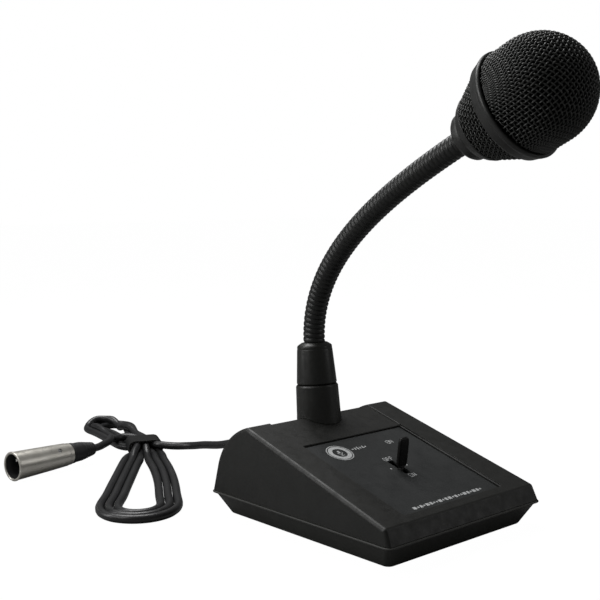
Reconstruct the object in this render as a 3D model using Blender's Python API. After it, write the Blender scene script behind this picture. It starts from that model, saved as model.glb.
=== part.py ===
"""A desk paging microphone: a wedge-shaped base with a lever switch, a gooseneck that bends in both
directions, a ball-shaped microphone head, and a cable that ends in a three-pin plug.

The origin is on the table, in the middle of the box round the base, neck and head. +X is to the
talker's right, +Y is towards the back of the base and +Z is up. The talker sits in front, at -Y.
"""

import math

import bmesh
import bpy
from mathutils import Matrix, Vector

# ------------------------------------------------------------------ driving dimensions, in metres
GAP = 0.0003                    # clearance between neighbouring pieces

BASE_Y = 0.033                  # middle of the base, behind the origin
BASE_HALF_X = 0.060             # half width at the seam between shell and tray
BASE_HALF_Y = 0.0698            # half length at the seam
SEAM_Z = 0.0143                 # top of the tray's rim
SIDE_DRAFT = math.radians(5)    # lean of the shell's side walls
FRONT_EDGE = (-0.066, 0.0228)   # top front edge, as (y from the base's middle, z)
RIDGE = (0.0425, 0.0542)        # highest line of the shell
WALL_TOP = (0.0668, 0.0302)     # where the rounded back becomes the straight rear wall
RIDGE_HANDLES = ((0.0545, 0.0508), (0.0640, 0.0425))
SHELL_SIDE = 0.0025             # wall thickness of the sides
SHELL_TOP = 0.0046              # wall thickness under the sloping top
RAIL_HALF_X = 0.039             # inner edge of the two raised side rails
CHANNEL_DEPTH = 0.0008          # the middle of the back lies this far below the rails
CHANNEL_FOOT_Z = 0.0200         # the channel runs down the rear wall to here
PANEL_FRONT_Y = -0.060          # the control panel's recess, from the base's middle
PANEL_REAR_Y = 0.0155
PANEL_DROP = 0.0018             # the panel's face below the rails
PANEL_THICK = 0.0009

TRAY_Z = 0.0012                 # underside of the tray above the table
TRAY_FLOOR = 0.0025
TRAY_TAPER = 0.0068             # how far the tray draws in towards its underside
RIM_PROUD = 0.0010
RIM_HEIGHT = 0.0011
FOOT_RADIUS = 0.0060
FOOT_PLACE = (0.042, 0.053)     # x and y of the feet from the base's middle
SCREW_PLACE = (0.046, 0.041)
SCREW_SHANK = 0.0015
POST_RADIUS = 0.0036
BALLAST_HALF = (0.038, 0.050)
BALLAST_THICK = 0.006
BOARD_Z = 0.0140
BOARD_HALF = (0.022, 0.017)
BOARD_Y = 0.0150
BOARD_SCREW_X = 0.018

SLOT_Y = -0.0208                # middle of the lever's slot, from the base's middle
SLOT_HALF = (0.0021, 0.0072)
PIVOT_AHEAD = 0.0034            # the lever's pin lies this far in front of the slot's middle
PIVOT_DEPTH = 0.0110            # and this far below the panel's face
LEVER_LEAN = math.radians(9)    # the lever rests leaning back from the panel's normal
PADDLE_FOOT = 0.0022            # the paddle's lower end above the panel
PADDLE_LENGTH = 0.0156

COLLAR_LEAN = math.radians(5)   # the neck starts out leaning backwards
COLLAR_TOP = Vector((0, 0.0808, 0.0948))
COLLAR_HEIGHT = 0.0422
COLLAR_SPLIT = 0.0190           # joint between the lower and the upper collar

NECK_RADIUS = 0.0064
NECK_JOINTS = 9
NECK_FIRST = 0.0080             # first joint above the collar, along the neck
NECK_LAST = 0.0080              # last joint before the head
NECK_BURIED = 0.0110            # length of neck inside the collar and inside the head's socket
NECK_HANDLES = (0.0530, 0.0606)
LINK_RELIEF = math.radians(6)   # a link's ends slope by this plus half the bend of the joint there
LINK_FLAT = 0.0011

HEAD_TILT = math.radians(25.5)  # the head points forwards and up
HEAD_PLACE = Vector((0, -0.0651, 0.2253))   # middle of the middle ring's front edge
HEAD_BACK = 0.0360              # from there back to the socket's end
BALL_RADIUS = 0.0276
BALL_MIDDLE = 0.0118

CABLE_RADIUS = 0.0026
GLAND_Z = 0.0280
GLAND_END_Y = 0.1280
TIE_PLACE = Vector((-0.0080, 0.2500, 0))
HANK_HEIGHT = 0.0112
HANK_WAIST = 0.0200
TIE_HALF = 0.0122
TIE_WALL = 0.0009
TIE_REACH = 0.0022
NEAR_LOOP = (math.radians(230.9), 0.1570, 0.0440, 0.006)   # heading, length, width, sideways shift
FAR_LOOP = (math.radians(78.9), 0.1080, 0.0270, -0.001)

PLUG_FRONT = Vector((-0.1130, 0.2463, 0.0097))
PLUG_HEADING = Vector((-0.993, -0.120, 0)).normalized()
SHELL_LENGTH = 0.0445
BOOT_LENGTH = 0.0195
SOCKET_DEPTH = 0.0170
PIN_RADIUS = 0.0012
PIN_CIRCLE = 0.0043
PIN_RECESS = 0.0052


# ------------------------------------------------------------------------------ shape helpers
def clear_scene():
    for thing in list(bpy.data.objects):
        bpy.data.objects.remove(thing, do_unlink=True)


def finish(name, colour, roughness, metallic=0.0):
    """A material of its own for one part."""
    material = bpy.data.materials.new(name)
    material.use_nodes = True
    shader = material.node_tree.nodes["Principled BSDF"]
    shader.inputs["Base Color"].default_value = (*colour, 1.0)
    shader.inputs["Roughness"].default_value = roughness
    shader.inputs["Metallic"].default_value = metallic
    return material


PLASTIC = ((0.020, 0.020, 0.019), 0.50, 0.0)
PLATE = ((0.027, 0.029, 0.030), 0.42, 0.0)
RUBBER = ((0.010, 0.010, 0.010), 0.80, 0.0)
BLACK_METAL = ((0.016, 0.016, 0.016), 0.38, 0.6)
STEEL = ((0.50, 0.50, 0.49), 0.35, 1.0)
NICKEL = ((0.55, 0.53, 0.49), 0.28, 1.0)
BRASS = ((0.62, 0.50, 0.24), 0.35, 1.0)
BOARD = ((0.03, 0.16, 0.07), 0.55, 0.0)
FOAM = ((0.020, 0.020, 0.020), 0.95, 0.0)


def put(part, look, matrix=None, smooth=True):
    """Gives a part its place and its material, and shades its round surfaces smooth."""
    part.data.materials.append(finish(part.name, *look))
    part.matrix_world = matrix if matrix is not None else Matrix.Identity(4)
    if smooth:
        part.data.shade_smooth()
        part.data.set_sharp_from_angle(angle=math.radians(32))
    return part


def object_of(name, bm):
    bmesh.ops.recalc_face_normals(bm, faces=bm.faces)
    mesh = bpy.data.meshes.new(name)
    bm.to_mesh(mesh)
    bm.free()
    part = bpy.data.objects.new(name, mesh)
    bpy.context.scene.collection.objects.link(part)
    return part


def skin(name, rings, hollow=False):
    """A body whose skin runs over a row of equal rings of points. A hollow one closes on itself."""
    bm = bmesh.new()
    loops = [[bm.verts.new(point) for point in ring] for ring in rings]
    pairs = list(zip(loops, loops[1:]))
    if hollow:
        pairs.append((loops[-1], loops[0]))
    count = len(rings[0])
    for low, high in pairs:
        for i in range(count):
            j = (i + 1) % count
            bm.faces.new((low[i], low[j], high[j], high[i]))
    if not hollow:
        bm.faces.new(loops[0])
        bm.faces.new(loops[-1])
    return object_of(name, bm)


def circle(radius, z, steps):
    turn = 2 * math.pi / steps
    return [Vector((radius * math.cos(i * turn), radius * math.sin(i * turn), z)) for i in range(steps)]


def turned(name, profile, look, matrix, steps=32, hollow=False):
    """A body of revolution about its own Z axis, from a profile of (radius, height) points."""
    part = skin(name, [circle(r, z, steps) for r, z in profile], hollow)
    return put(part, look, matrix)


def rounded_rectangle(half_x, half_y, radius, z, steps=5):
    """The outline of a rectangle with round corners, anticlockwise."""
    ring = []
    for corner, (sx, sy) in enumerate(((1, 1), (-1, 1), (-1, -1), (1, -1))):
        middle = Vector((sx * (half_x - radius), sy * (half_y - radius), z))
        for i in range(steps + 1):
            angle = math.pi / 2 * (corner + i / steps)
            ring.append(middle + Vector((radius * math.cos(angle), radius * math.sin(angle), 0)))
    return ring


def block(name, low, high, look, matrix=None, radius=0.0004):
    """A box between two corners of its own frame, with slightly round upright edges."""
    low, high = Vector(low), Vector(high)
    middle, half = (low + high) / 2, (high - low) / 2
    shift = Vector((middle.x, middle.y, 0))
    rings = [
        [p + shift for p in rounded_rectangle(half.x, half.y, radius, z, 2)] for z in (low.z, high.z)
    ]
    return put(skin(name, rings), look, matrix, smooth=False)


def prism_x(name, outline, half_x):
    """A body with the same (y, z) outline from -half_x to +half_x."""
    return skin(name, [[Vector((x, y, z)) for y, z in outline] for x in (-half_x, half_x)])


def tube(name, points, radius, look, sides=2):
    """A round cord through points, with flat ends."""
    curve = bpy.data.curves.new(name, "CURVE")
    curve.dimensions = "3D"
    curve.bevel_depth = radius
    curve.bevel_resolution = sides
    curve.use_fill_caps = True
    spline = curve.splines.new("POLY")
    spline.points.add(len(points) - 1)
    for spot, point in zip(spline.points, points):
        spot.co = (*point, 1.0)
    part = bpy.data.objects.new(name, curve)
    bpy.context.scene.collection.objects.link(part)
    curve.materials.append(finish(name, *look))
    return part


def smooth_route(points, spacing):
    """Points a spacing apart on a smooth curve through the route's own points."""
    points = [Vector(p) for p in points]
    ends = [2 * points[0] - points[1], *points, 2 * points[-1] - points[-2]]
    dense = []
    for a, b, c, d in zip(ends, ends[1:], ends[2:], ends[3:]):
        for i in range(16):
            t = i / 16
            dense.append(
                0.5 * (2 * b + (c - a) * t + (2 * a - 5 * b + 4 * c - d) * t * t
                       + (3 * b - a - 3 * c + d) * t ** 3)
            )
    dense.append(points[-1])
    length = sum((q - p).length for p, q in zip(dense, dense[1:]))
    count = max(2, round(length / spacing))
    route, walked, target = [dense[0]], 0.0, length / count
    for p, q in zip(dense, dense[1:]):
        step = (q - p).length
        while walked + step >= target * len(route) and len(route) < count:
            route.append(p.lerp(q, (target * len(route) - walked) / step))
        walked += step
    return [*route, dense[-1]]


def as_cutter(part):
    part.hide_render = True
    part.display_type = "WIRE"
    return part


def boolean(part, tool, operation):
    modifier = part.modifiers.new(f"{operation.lower()}_{tool.name}", "BOOLEAN")
    modifier.operation = operation
    modifier.solver = "EXACT"
    modifier.object = as_cutter(tool)


def cut(part, tool):
    boolean(part, tool, "DIFFERENCE")


def add(part, tool):
    boolean(part, tool, "UNION")


def soften(part, width, segments=2, angle=40):
    modifier = part.modifiers.new("soften", "BEVEL")
    modifier.width = width
    modifier.segments = segments
    modifier.limit_method = "ANGLE"
    modifier.angle_limit = math.radians(angle)
    return part


def cylinder_cutter(name, radius, low, high, matrix, steps=28):
    part = skin(name, [circle(radius, low, steps), circle(radius, high, steps)])
    part.matrix_world = matrix
    return part


def along(origin, direction):
    """A frame at origin whose Z axis is direction and whose X axis stays level."""
    z = Vector(direction).normalized()
    x = Vector((1, 0, 0)) if abs(z.x) < 0.9 else z.cross(Vector((0, 0, 1))).normalized()
    y = z.cross(x).normalized()
    frame = Matrix((x, y, z)).transposed().to_4x4()
    frame.translation = origin
    return frame


def pivot(name, place, parent=None):
    """An empty on a joint's axis, which carries the pieces that turn there."""
    empty = bpy.data.objects.new(name, None)
    bpy.context.scene.collection.objects.link(empty)
    empty.matrix_world = Matrix.Translation(place)
    if parent is not None:
        hang(empty, parent)
    return empty


def hang(part, parent):
    """Parents part to a pivot and leaves it where it is."""
    place = part.matrix_world.copy()
    part.parent = parent
    part.matrix_parent_inverse = Matrix.Translation(-PIVOT_PLACES[parent.name])
    part.matrix_basis = place
    return part


PIVOT_PLACES = {}


# ------------------------------------------------------------------------------ the base
def offset_outline(points, distance):
    """The closed (y, z) outline moved outwards by distance, its corners kept sharp."""
    moved = []
    count = len(points)
    for i in range(count):
        a, b, c = (Vector(points[(i + k) % count]) for k in (-1, 0, 1))
        first, second = (b - a).normalized(), (c - b).normalized()
        normals = [Vector((-d.y, d.x)) for d in (first, second)]
        bisector = (normals[0] + normals[1]).normalized()
        moved.append(tuple(b + bisector * (distance / bisector.dot(normals[0]))))
    return moved


def base_outline():
    """The shell's side view, clockwise from its lower front corner, in (y, z)."""
    ends = [Vector(RIDGE), *(Vector(h) for h in RIDGE_HANDLES), Vector(WALL_TOP)]
    back = []
    for i in range(9):
        t = i / 8
        weights = ((1 - t) ** 3, 3 * t * (1 - t) ** 2, 3 * t * t * (1 - t), t ** 3)
        back.append(sum((w * p for w, p in zip(weights, ends)), Vector((0, 0))))
    outline = [(-BASE_HALF_Y, SEAM_Z + GAP), FRONT_EDGE, *back, (BASE_HALF_Y, SEAM_Z + GAP)]
    return [(y + BASE_Y, z) for y, z in outline]


def side_x(z, inset):
    return BASE_HALF_X - inset - (z - SEAM_Z) * math.tan(SIDE_DRAFT)


def wedge(name, outline, inset):
    return skin(name, [[Vector((s * side_x(z, inset), y, z)) for y, z in outline] for s in (-1, 1)])


def round_shell_edges(shell):
    """Large radii on the upright corners, small ones along the top, and none at the seam."""
    bm = bmesh.new()
    bm.from_mesh(shell.data)
    weight = bm.edges.layers.float.new("bevel_weight_edge")
    for edge in bm.edges:
        a, b = (v.co for v in edge.verts)
        if min(a.z, b.z) > SEAM_Z + 2 * GAP:
            sideways = a.x * b.x < 0
            steep = edge.calc_face_angle(0) > math.radians(12)
            if steep:
                edge[weight] = 0.5
            if sideways and a.z > FRONT_EDGE[1] + 0.01 and steep:
                edge[weight] = 1.0
        elif abs(a.z - b.z) > 0.002:
            edge[weight] = 1.0
    bm.to_mesh(shell.data)
    bm.free()
    modifier = shell.modifiers.new("round_edges", "BEVEL")
    modifier.width = 0.0030
    modifier.segments = 4
    modifier.limit_method = "WEIGHT"


def slope_frame(y, depth):
    """A frame on the sloping top, depth below it, with Y up the slope and Z out of the shell."""
    rise = math.atan2(RIDGE[1] - FRONT_EDGE[1], RIDGE[0] - FRONT_EDGE[0])
    place = Vector((0, BASE_Y + y, FRONT_EDGE[1] + (y - FRONT_EDGE[0]) * math.tan(rise)))
    frame = Matrix.Rotation(rise, 4, "X")
    frame.translation = place - frame.to_3x3() @ Vector((0, 0, depth))
    return frame, rise


def base_place(x, y):
    return Matrix.Translation((x, BASE_Y + y, 0))


def corners(place):
    """The four corner positions and what they are called."""
    for ny, sy in (("front", -1), ("rear", 1)):
        for nx, sx in (("left", -1), ("right", 1)):
            yield f"{ny}_{nx}", sx * place[0], sy * place[1]


def panel_pocket(name, inset, low, high):
    """A body over the control panel's area, between two depths below the sloping top."""
    frame, rise = slope_frame((PANEL_FRONT_Y + PANEL_REAR_Y) / 2, 0)
    half_y = (PANEL_REAR_Y - PANEL_FRONT_Y) / 2 / math.cos(rise) - inset
    half_x = RAIL_HALF_X - inset
    rings = [rounded_rectangle(half_x, half_y, 0.0010, -depth, 3) for depth in (low, high)]
    part = skin(name, rings)
    part.matrix_world = frame
    return part


def make_shell(collar):
    outline = base_outline()
    shell = wedge("top_shell", outline, 0)
    round_shell_edges(shell)
    inner = offset_outline(outline, -SHELL_TOP)
    inner[0] = (inner[0][0], SEAM_Z - 0.002)
    inner[-1] = (inner[-1][0], SEAM_Z - 0.002)
    cut(shell, wedge("cut_cavity", inner, SHELL_SIDE))

    lowered = offset_outline(outline, -CHANNEL_DEPTH)
    start = BASE_Y + PANEL_REAR_Y
    frame, rise = slope_frame(PANEL_REAR_Y, CHANNEL_DEPTH)
    a, b = (Vector(p) for p in lowered[-2:])
    foot = a.lerp(b, (a.y - CHANNEL_FOOT_Z) / (a.y - b.y))
    beyond = BASE_Y + BASE_HALF_Y + 0.01
    floor = [(start, frame.translation.z), *lowered[2:-1], tuple(foot), (beyond, foot.y - 0.003)]
    channel = [*floor, (beyond, 0.075), (start, 0.075)]
    cut(shell, prism_x("cut_channel", channel, RAIL_HALF_X))
    cut(shell, panel_pocket("cut_panel", 0, -0.004, PANEL_DROP + PANEL_THICK + GAP))

    slot, _ = slope_frame(SLOT_Y, PANEL_DROP)
    opening = skin(
        "cut_slot",
        [rounded_rectangle(0.0046, 0.0098, 0.001, z, 2) for z in (-0.012, 0.004)],
    )
    opening.matrix_world = slot
    cut(shell, opening)

    seat = cylinder_cutter("add_collar_seat", 0.0120, -0.0066, -0.0050, collar)
    add(shell, seat)
    cut(shell, cylinder_cutter("cut_nut_room", 0.0122, -0.0220, -0.0066, collar))
    cut(shell, cylinder_cutter("cut_stud", 0.0054, -0.0200, 0.0100, collar))
    rearwards = along(Vector((0, BASE_Y, GLAND_Z)), (0, 1, 0))
    cut(shell, cylinder_cutter("cut_gland", 0.0044, 0.040, 0.080, rearwards))

    for name, x, y in corners(SCREW_PLACE):
        top = slope_frame(min(y, RIDGE[0]), SHELL_TOP)[0].translation.z + 0.0015
        if y > 0:
            top -= 0.0012
        post = cylinder_cutter(f"add_post_{name}", POST_RADIUS, 0.0042, top, base_place(x, y), 16)
        add(shell, post)
        bore = cylinder_cutter(f"cut_post_{name}", SCREW_SHANK + GAP, 0, 0.0175, base_place(x, y), 12)
        cut(shell, bore)
    return put(shell, PLASTIC)


def make_tray():
    low, seam = TRAY_Z, SEAM_Z - RIM_HEIGHT
    shapes = [
        (TRAY_TAPER + 0.0007, low, 0.0040),
        (TRAY_TAPER, low + 0.0007, 0.0040),
        (0.0006, seam, 0.0035),
        (-RIM_PROUD, seam + 0.0002, 0.0042),
        (-RIM_PROUD, SEAM_Z, 0.0042),
        (0.0030, SEAM_Z, 0.0020),
        (0.0034, seam, 0.0020),
        (TRAY_TAPER + 0.0026, low + TRAY_FLOOR, 0.0020),
    ]
    rings = [rounded_rectangle(BASE_HALF_X - d, BASE_HALF_Y - d, r, z) for d, z, r in shapes]
    tray = skin("bottom_tray", rings)
    for name, x, y in corners(SCREW_PLACE):
        place = base_place(x, y)
        cut(tray, cylinder_cutter(f"cut_shank_{name}", SCREW_SHANK + GAP, 0, 0.01, place, 12))
        cut(tray, cylinder_cutter(f"cut_head_{name}", 0.0033, 0, TRAY_Z + 0.0014, place, 16))
    put(tray, PLASTIC)
    tray.matrix_world = base_place(0, 0)


def make_base_fittings():
    for name, x, y in corners(FOOT_PLACE):
        profile = [(FOOT_RADIUS - 0.0004, 0), (FOOT_RADIUS, 0.0003), (FOOT_RADIUS, TRAY_Z - GAP)]
        turned(f"foot_{name}", profile, RUBBER, base_place(x, y), 24)
    for name, x, y in corners(SCREW_PLACE):
        head = TRAY_Z + 0.0014 - GAP
        profile = [(0.0028, TRAY_Z), (0.0030, TRAY_Z + 0.0002), (0.0030, head),
                   (SCREW_SHANK, head), (SCREW_SHANK, 0.0155), (0.0008, 0.0165)]
        turned(f"tray_screw_{name}", profile, STEEL, base_place(x, y), 12)

    low = TRAY_Z + TRAY_FLOOR + GAP
    top = low + BALLAST_THICK
    x, y = BALLAST_HALF
    block("ballast_plate", (-x, -y, low), (x, y, top), STEEL, base_place(0, 0), 0.002)
    x, y = BOARD_HALF
    board = block("circuit_board", (-x, -y, BOARD_Z), (x, y, BOARD_Z + 0.0016), BOARD, base_place(0, BOARD_Y))
    for name, sx in (("left", -1), ("right", 1)):
        place = base_place(sx * BOARD_SCREW_X, BOARD_Y)
        cut(board, cylinder_cutter(f"cut_board_{name}", 0.0018, 0, 0.03, place, 12))
        turned(f"board_spacer_{name}", [(0.0030, top + GAP), (0.0030, BOARD_Z - GAP)], BRASS, place, 12)
        above = BOARD_Z + 0.0016 + GAP
        profile = [(0.0013, BOARD_Z), (0.0013, above), (0.0026, above), (0.0026, above + 0.0014)]
        turned(f"board_screw_{name}", profile, STEEL, place, 12)


def make_control_panel():
    thick_low = PANEL_DROP + PANEL_THICK
    panel = panel_pocket("control_panel", GAP, PANEL_DROP, thick_low)
    frame, _ = slope_frame(SLOT_Y, PANEL_DROP)
    slot = skin("cut_panel_slot", [rounded_rectangle(*SLOT_HALF, 0.0008, z, 2) for z in (-0.003, 0.003)])
    slot.matrix_world = frame
    cut(panel, slot)
    place = panel.matrix_world.copy()
    put(panel, PLATE, place, smooth=False)


def make_switch():
    """The lever switch under the panel. Its housing follows the slot, and its lever stands on a pin."""
    slot, _ = slope_frame(SLOT_Y, PANEL_DROP)
    pin = slot @ Matrix.Translation((0, -PIVOT_AHEAD, -PIVOT_DEPTH))
    across = pin @ Matrix.Rotation(math.pi / 2, 4, "Y")
    lever = pin @ Matrix.Rotation(-LEVER_LEAN, 4, "X")

    housing = block("switch_housing", (-0.0058, -0.0110, -0.0178), (0.0058, 0.0110, -0.0054), PLASTIC, slot)
    well = skin("cut_well", [rounded_rectangle(0.0036, 0.0088, 0.0006, z, 2) for z in (-0.0160, 0)])
    well.matrix_world = slot
    cut(housing, well)
    cut(housing, cylinder_cutter("cut_pin_way", 0.0013, -0.01, 0.01, across, 14))
    turned("switch_pivot_pin", [(0.0010, -0.0056), (0.0010, 0.0056)], STEEL, across, 14)
    for name, side in (("front", -1), ("rear", 1)):
        y = sorted((side * 0.0080, side * 0.0084))
        block(f"switch_contact_{name}", (-0.0020, y[0], -0.0155), (0.0020, y[1], -0.0062), BRASS, slot, 0.0001)

    joint = pin.translation.copy()
    PIVOT_PLACES["lever_pivot"] = joint
    carrier = pivot("lever_pivot", joint)
    hub = cylinder_cutter("switch_lever", 0.0026, -0.0030, 0.0030, across, 20)
    hub.hide_render = False
    stem_top = PIVOT_DEPTH + PADDLE_FOOT + 0.0060
    stem = skin("add_stem", [rounded_rectangle(0.0012, 0.0010, 0.0003, z, 2) for z in (0.0018, stem_top)])
    stem.matrix_world = lever
    add(hub, stem)
    cut(hub, cylinder_cutter("cut_lever_bore", 0.0013, -0.01, 0.01, across, 14))
    hang(put(hub, STEEL, across), carrier)

    shape = [(0, 0.0028, 0.0011), (0.0010, 0.0034, 0.0014), (0.0080, 0.0035, 0.0014),
             (PADDLE_LENGTH - 0.0018, 0.0034, 0.0013), (PADDLE_LENGTH - 0.0006, 0.0030, 0.0010),
             (PADDLE_LENGTH, 0.0022, 0.0005)]
    rings = [rounded_rectangle(hx, hy, hy * 0.7, z, 3) for z, hx, hy in shape]
    place = lever @ Matrix.Translation((0, 0, PIVOT_DEPTH + PADDLE_FOOT))
    paddle = put(skin("switch_paddle", rings), PLASTIC, place)
    hole = skin("cut_stem_way", [rounded_rectangle(0.0015, 0.0012, 0.0003, z, 2) for z in (-0.004, 0.0064)])
    hole.matrix_world = place
    cut(paddle, hole)
    hang(paddle, carrier)


# ------------------------------------------------------------------------------ the neck
def make_collars(collar):
    """Two stacked tapering sleeves. The lower one follows the shell's top where it stands on it."""
    split = COLLAR_SPLIT
    profile = [(0.0054, -0.0090), (0.0133, -0.0090), (0.0130, 0.0010), (0.01245, split - 0.0009),
               (0.0119, split - GAP / 2), (0.0054, split - GAP / 2)]
    lower = turned("lower_collar", profile, PLASTIC, collar, 36, hollow=True)
    body = offset_outline(base_outline(), GAP - CHANNEL_DEPTH)
    cut(lower, prism_x("cut_under_collar", body, 0.03))

    low, top = split + GAP / 2, COLLAR_HEIGHT
    seat = top - NECK_BURIED - GAP
    bore = NECK_RADIUS + GAP
    profile = [(0.0054, low), (0.0114, low), (0.01185, low + 0.0007), (0.01035, top - 0.0006), (0.0099, top),
               (0.0074, top + 0.0014), (bore, top + 0.0014), (bore, seat), (0.0054, seat)]
    turned("upper_collar", profile, PLASTIC, collar, 36, hollow=True)

    stud = [(0.0030, -0.0140), (0.0050, -0.0140), (0.0050, seat - GAP), (0.0030, seat - GAP)]
    turned("neck_stud", stud, STEEL, collar, 24, hollow=True)
    washer = [(0.0054, -0.0078), (0.0095, -0.0078), (0.0095, -0.0069), (0.0054, -0.0069)]
    turned("stud_washer", washer, STEEL, collar, 24, hollow=True)
    nut = turned("stud_nut", [(0.0090, -0.0128), (0.0090, -0.0081)], BRASS, collar, 6)
    cut(nut, cylinder_cutter("cut_nut_bore", 0.0054, -0.0140, -0.0070, collar, 24))


def neck_curve():
    """Evenly walked points on the neck's centre line, as (distance, point) pairs."""
    start = COLLAR_TOP
    forward = Vector((0, -math.cos(HEAD_TILT), math.sin(HEAD_TILT)))
    up = Vector((0, math.sin(COLLAR_LEAN), math.cos(COLLAR_LEAN)))
    end = HEAD_PLACE - forward * HEAD_BACK
    ends = [start, start + up * NECK_HANDLES[0], end - forward * NECK_HANDLES[1], end]
    walked, row, before = 0.0, [], start
    for i in range(401):
        t = i / 400
        weights = ((1 - t) ** 3, 3 * t * (1 - t) ** 2, 3 * t * t * (1 - t), t ** 3)
        point = sum((w * p for w, p in zip(weights, ends)), Vector())
        walked += (point - before).length
        row.append((walked, point))
        before = point
    return row, up, forward


def point_on(row, distance):
    for (a, p), (b, q) in zip(row, row[1:]):
        if b >= distance:
            return p.lerp(q, (distance - a) / (b - a))
    return row[-1][1]


def link_end(bend):
    """One end of a link as (radius, distance from the end), sloping away from a joint that bends."""
    if bend is None:
        return [(NECK_RADIUS - 0.0005, 0), (NECK_RADIUS, 0.0005)]
    slope = (NECK_RADIUS - LINK_FLAT) * math.tan(LINK_RELIEF + bend / 2)
    return [(LINK_FLAT, GAP), (NECK_RADIUS, GAP + slope)]


def link_profile(length, start_bend, end_bend):
    end = [(radius, length - z) for radius, z in reversed(link_end(end_bend))]
    return link_end(start_bend) + end


def make_neck():
    """A chain of short links on the neck's curve. Returns the last pivot, which carries the head."""
    row, up, forward = neck_curve()
    pitch = (row[-1][0] - NECK_FIRST - NECK_LAST) / (NECK_JOINTS - 1)
    places = [COLLAR_TOP - up * NECK_BURIED, COLLAR_TOP + up * NECK_FIRST]
    places += [point_on(row, NECK_FIRST + i * pitch) for i in range(1, NECK_JOINTS)]
    places.append(row[-1][1] + forward * (NECK_BURIED - 0.0020))
    spans = [after - before for before, after in zip(places, places[1:])]
    bends = [None, *(a.angle(b) for a, b in zip(spans, spans[1:])), None]
    names = ["gooseneck_root", *(f"gooseneck_link_{i}" for i in range(1, NECK_JOINTS)), "gooseneck_tip"]
    carrier = None
    for i, (name, place, span) in enumerate(zip(names, places, spans)):
        profile = link_profile(span.length, bends[i], bends[i + 1])
        link = turned(name, profile, BLACK_METAL, along(place, span), 20)
        if i > 0:
            PIVOT_PLACES[f"neck_pivot_{i}"] = place
            carrier = pivot(f"neck_pivot_{i}", place, carrier)
            hang(link, carrier)
    return carrier


# ------------------------------------------------------------------------------ the head
def dome_profile(radius):
    """From near the tip to the rim: a half ball, then a short straight skirt."""
    first, steps = math.radians(87), 7
    points = []
    for i in range(steps + 1):
        angle = first * (1 - i / steps)
        points.append((radius * math.cos(angle), BALL_MIDDLE + radius * math.sin(angle)))
    return [*points, (radius, GAP)]


def bowl(name, radius, thickness, look, matrix, steps):
    outer, inner = dome_profile(radius), dome_profile(radius - thickness)
    return turned(name, [*outer, *reversed(inner)], look, matrix, steps)


def make_head(carrier):
    forward = Vector((0, -math.cos(HEAD_TILT), math.sin(HEAD_TILT)))
    head = along(HEAD_PLACE, forward)
    back, bore = -HEAD_BACK, NECK_RADIUS + GAP
    plug = back + NECK_BURIED
    rings = {
        "neck_socket": (BLACK_METAL, [
            (bore, back - 0.0005), (0.0098, back - 0.0005), (0.0116, back + 0.0003), (0.0127, back + 0.0018),
            (0.0130, back + 0.0042), (0.0130, -0.0303), (0.0090, -0.0303), (0.0090, plug + 0.0030),
            (0.0020, plug + 0.0030), (0.0020, plug), (bore, plug)]),
        "lower_ring": (BLACK_METAL, [
            (0.0093, -0.0300), (0.0137, -0.0300), (0.0146, -0.0294), (0.0165, -0.0271), (0.0179, -0.0247),
            (0.0181, -0.0238), (0.0155, -0.0238), (0.0120, -0.0268), (0.0093, -0.0268)]),
        "lower_grille": (BLACK_METAL, [
            (0.0178, -0.0235), (0.0219, -0.0158), (0.0257, -0.0080), (0.0248, -0.0080), (0.0210, -0.0158),
            (0.0168, -0.0235)]),
        "middle_ring": (BLACK_METAL, [
            (0.0259, -0.0077), (0.0266, -0.0074), (0.0284, -0.0020), (0.0287, -0.0008), (0.0283, 0.0),
            (0.0268, 0.0), (0.0256, -0.0020), (0.0246, -0.0077)]),
        "capsule_cradle": (RUBBER, [
            (0.0143, -0.0060), (0.0240, -0.0060), (0.0247, -0.0040), (0.0247, -0.0024), (0.0143, -0.0024)]),
    }
    for name, (look, profile) in rings.items():
        hang(turned(name, profile, look, head, 32, hollow=True), carrier)
    hang(bowl("upper_grille", BALL_RADIUS, 0.0009, BLACK_METAL, head, 32), carrier)
    hang(bowl("foam_screen", BALL_RADIUS - 0.0012, 0.0020, FOAM, head, 32), carrier)
    capsule = [(0.0060, -0.0180), (0.0120, -0.0170), (0.0140, -0.0150), (0.0140, 0.0030), (0.0120, 0.0042)]
    hang(turned("capsule", capsule, STEEL, head, 28), carrier)


# ------------------------------------------------------------------------------ the cable and plug
def make_gland():
    rearwards = along(Vector((0, 0, GLAND_Z)), (0, 1, 0))
    profile = [(0.0050, 0.0908), (0.0053, 0.0911), (0.0053, 0.0928), (0.0040, 0.0928), (0.0040, 0.1014),
               (0.0062, 0.1014), (0.0062, 0.1028), (0.0052, 0.1034), (0.0042, 0.1150), (0.0036, GLAND_END_Y)]
    turned("strain_relief", profile, RUBBER, rearwards, 20)


def make_inner_leads(collar):
    """The lead from the neck and the lead to the cable, both down to the circuit board."""
    above = BOARD_Z + 0.0016 + GAP + 0.0016
    rear = BASE_Y + BOARD_Y + BOARD_HALF[1] - 0.004
    down = [collar @ Vector((0, 0, z)) for z in (0.024, 0.008, -0.008, -0.016)]
    route = [*down, (0, 0.071, 0.028), (0, 0.064, 0.0205), (0, rear, above)]
    tube("neck_lead", smooth_route(route, 0.005), 0.0013, RUBBER)
    route = [(0.004, 0.0905, GLAND_Z), (0.005, 0.084, 0.0285), (0.009, 0.075, 0.0215), (0.011, 0.068, above + 0.001),
             (0.012, rear, above)]
    tube("cable_inner_lead", smooth_route(route, 0.005), 0.0013, RUBBER)


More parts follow.
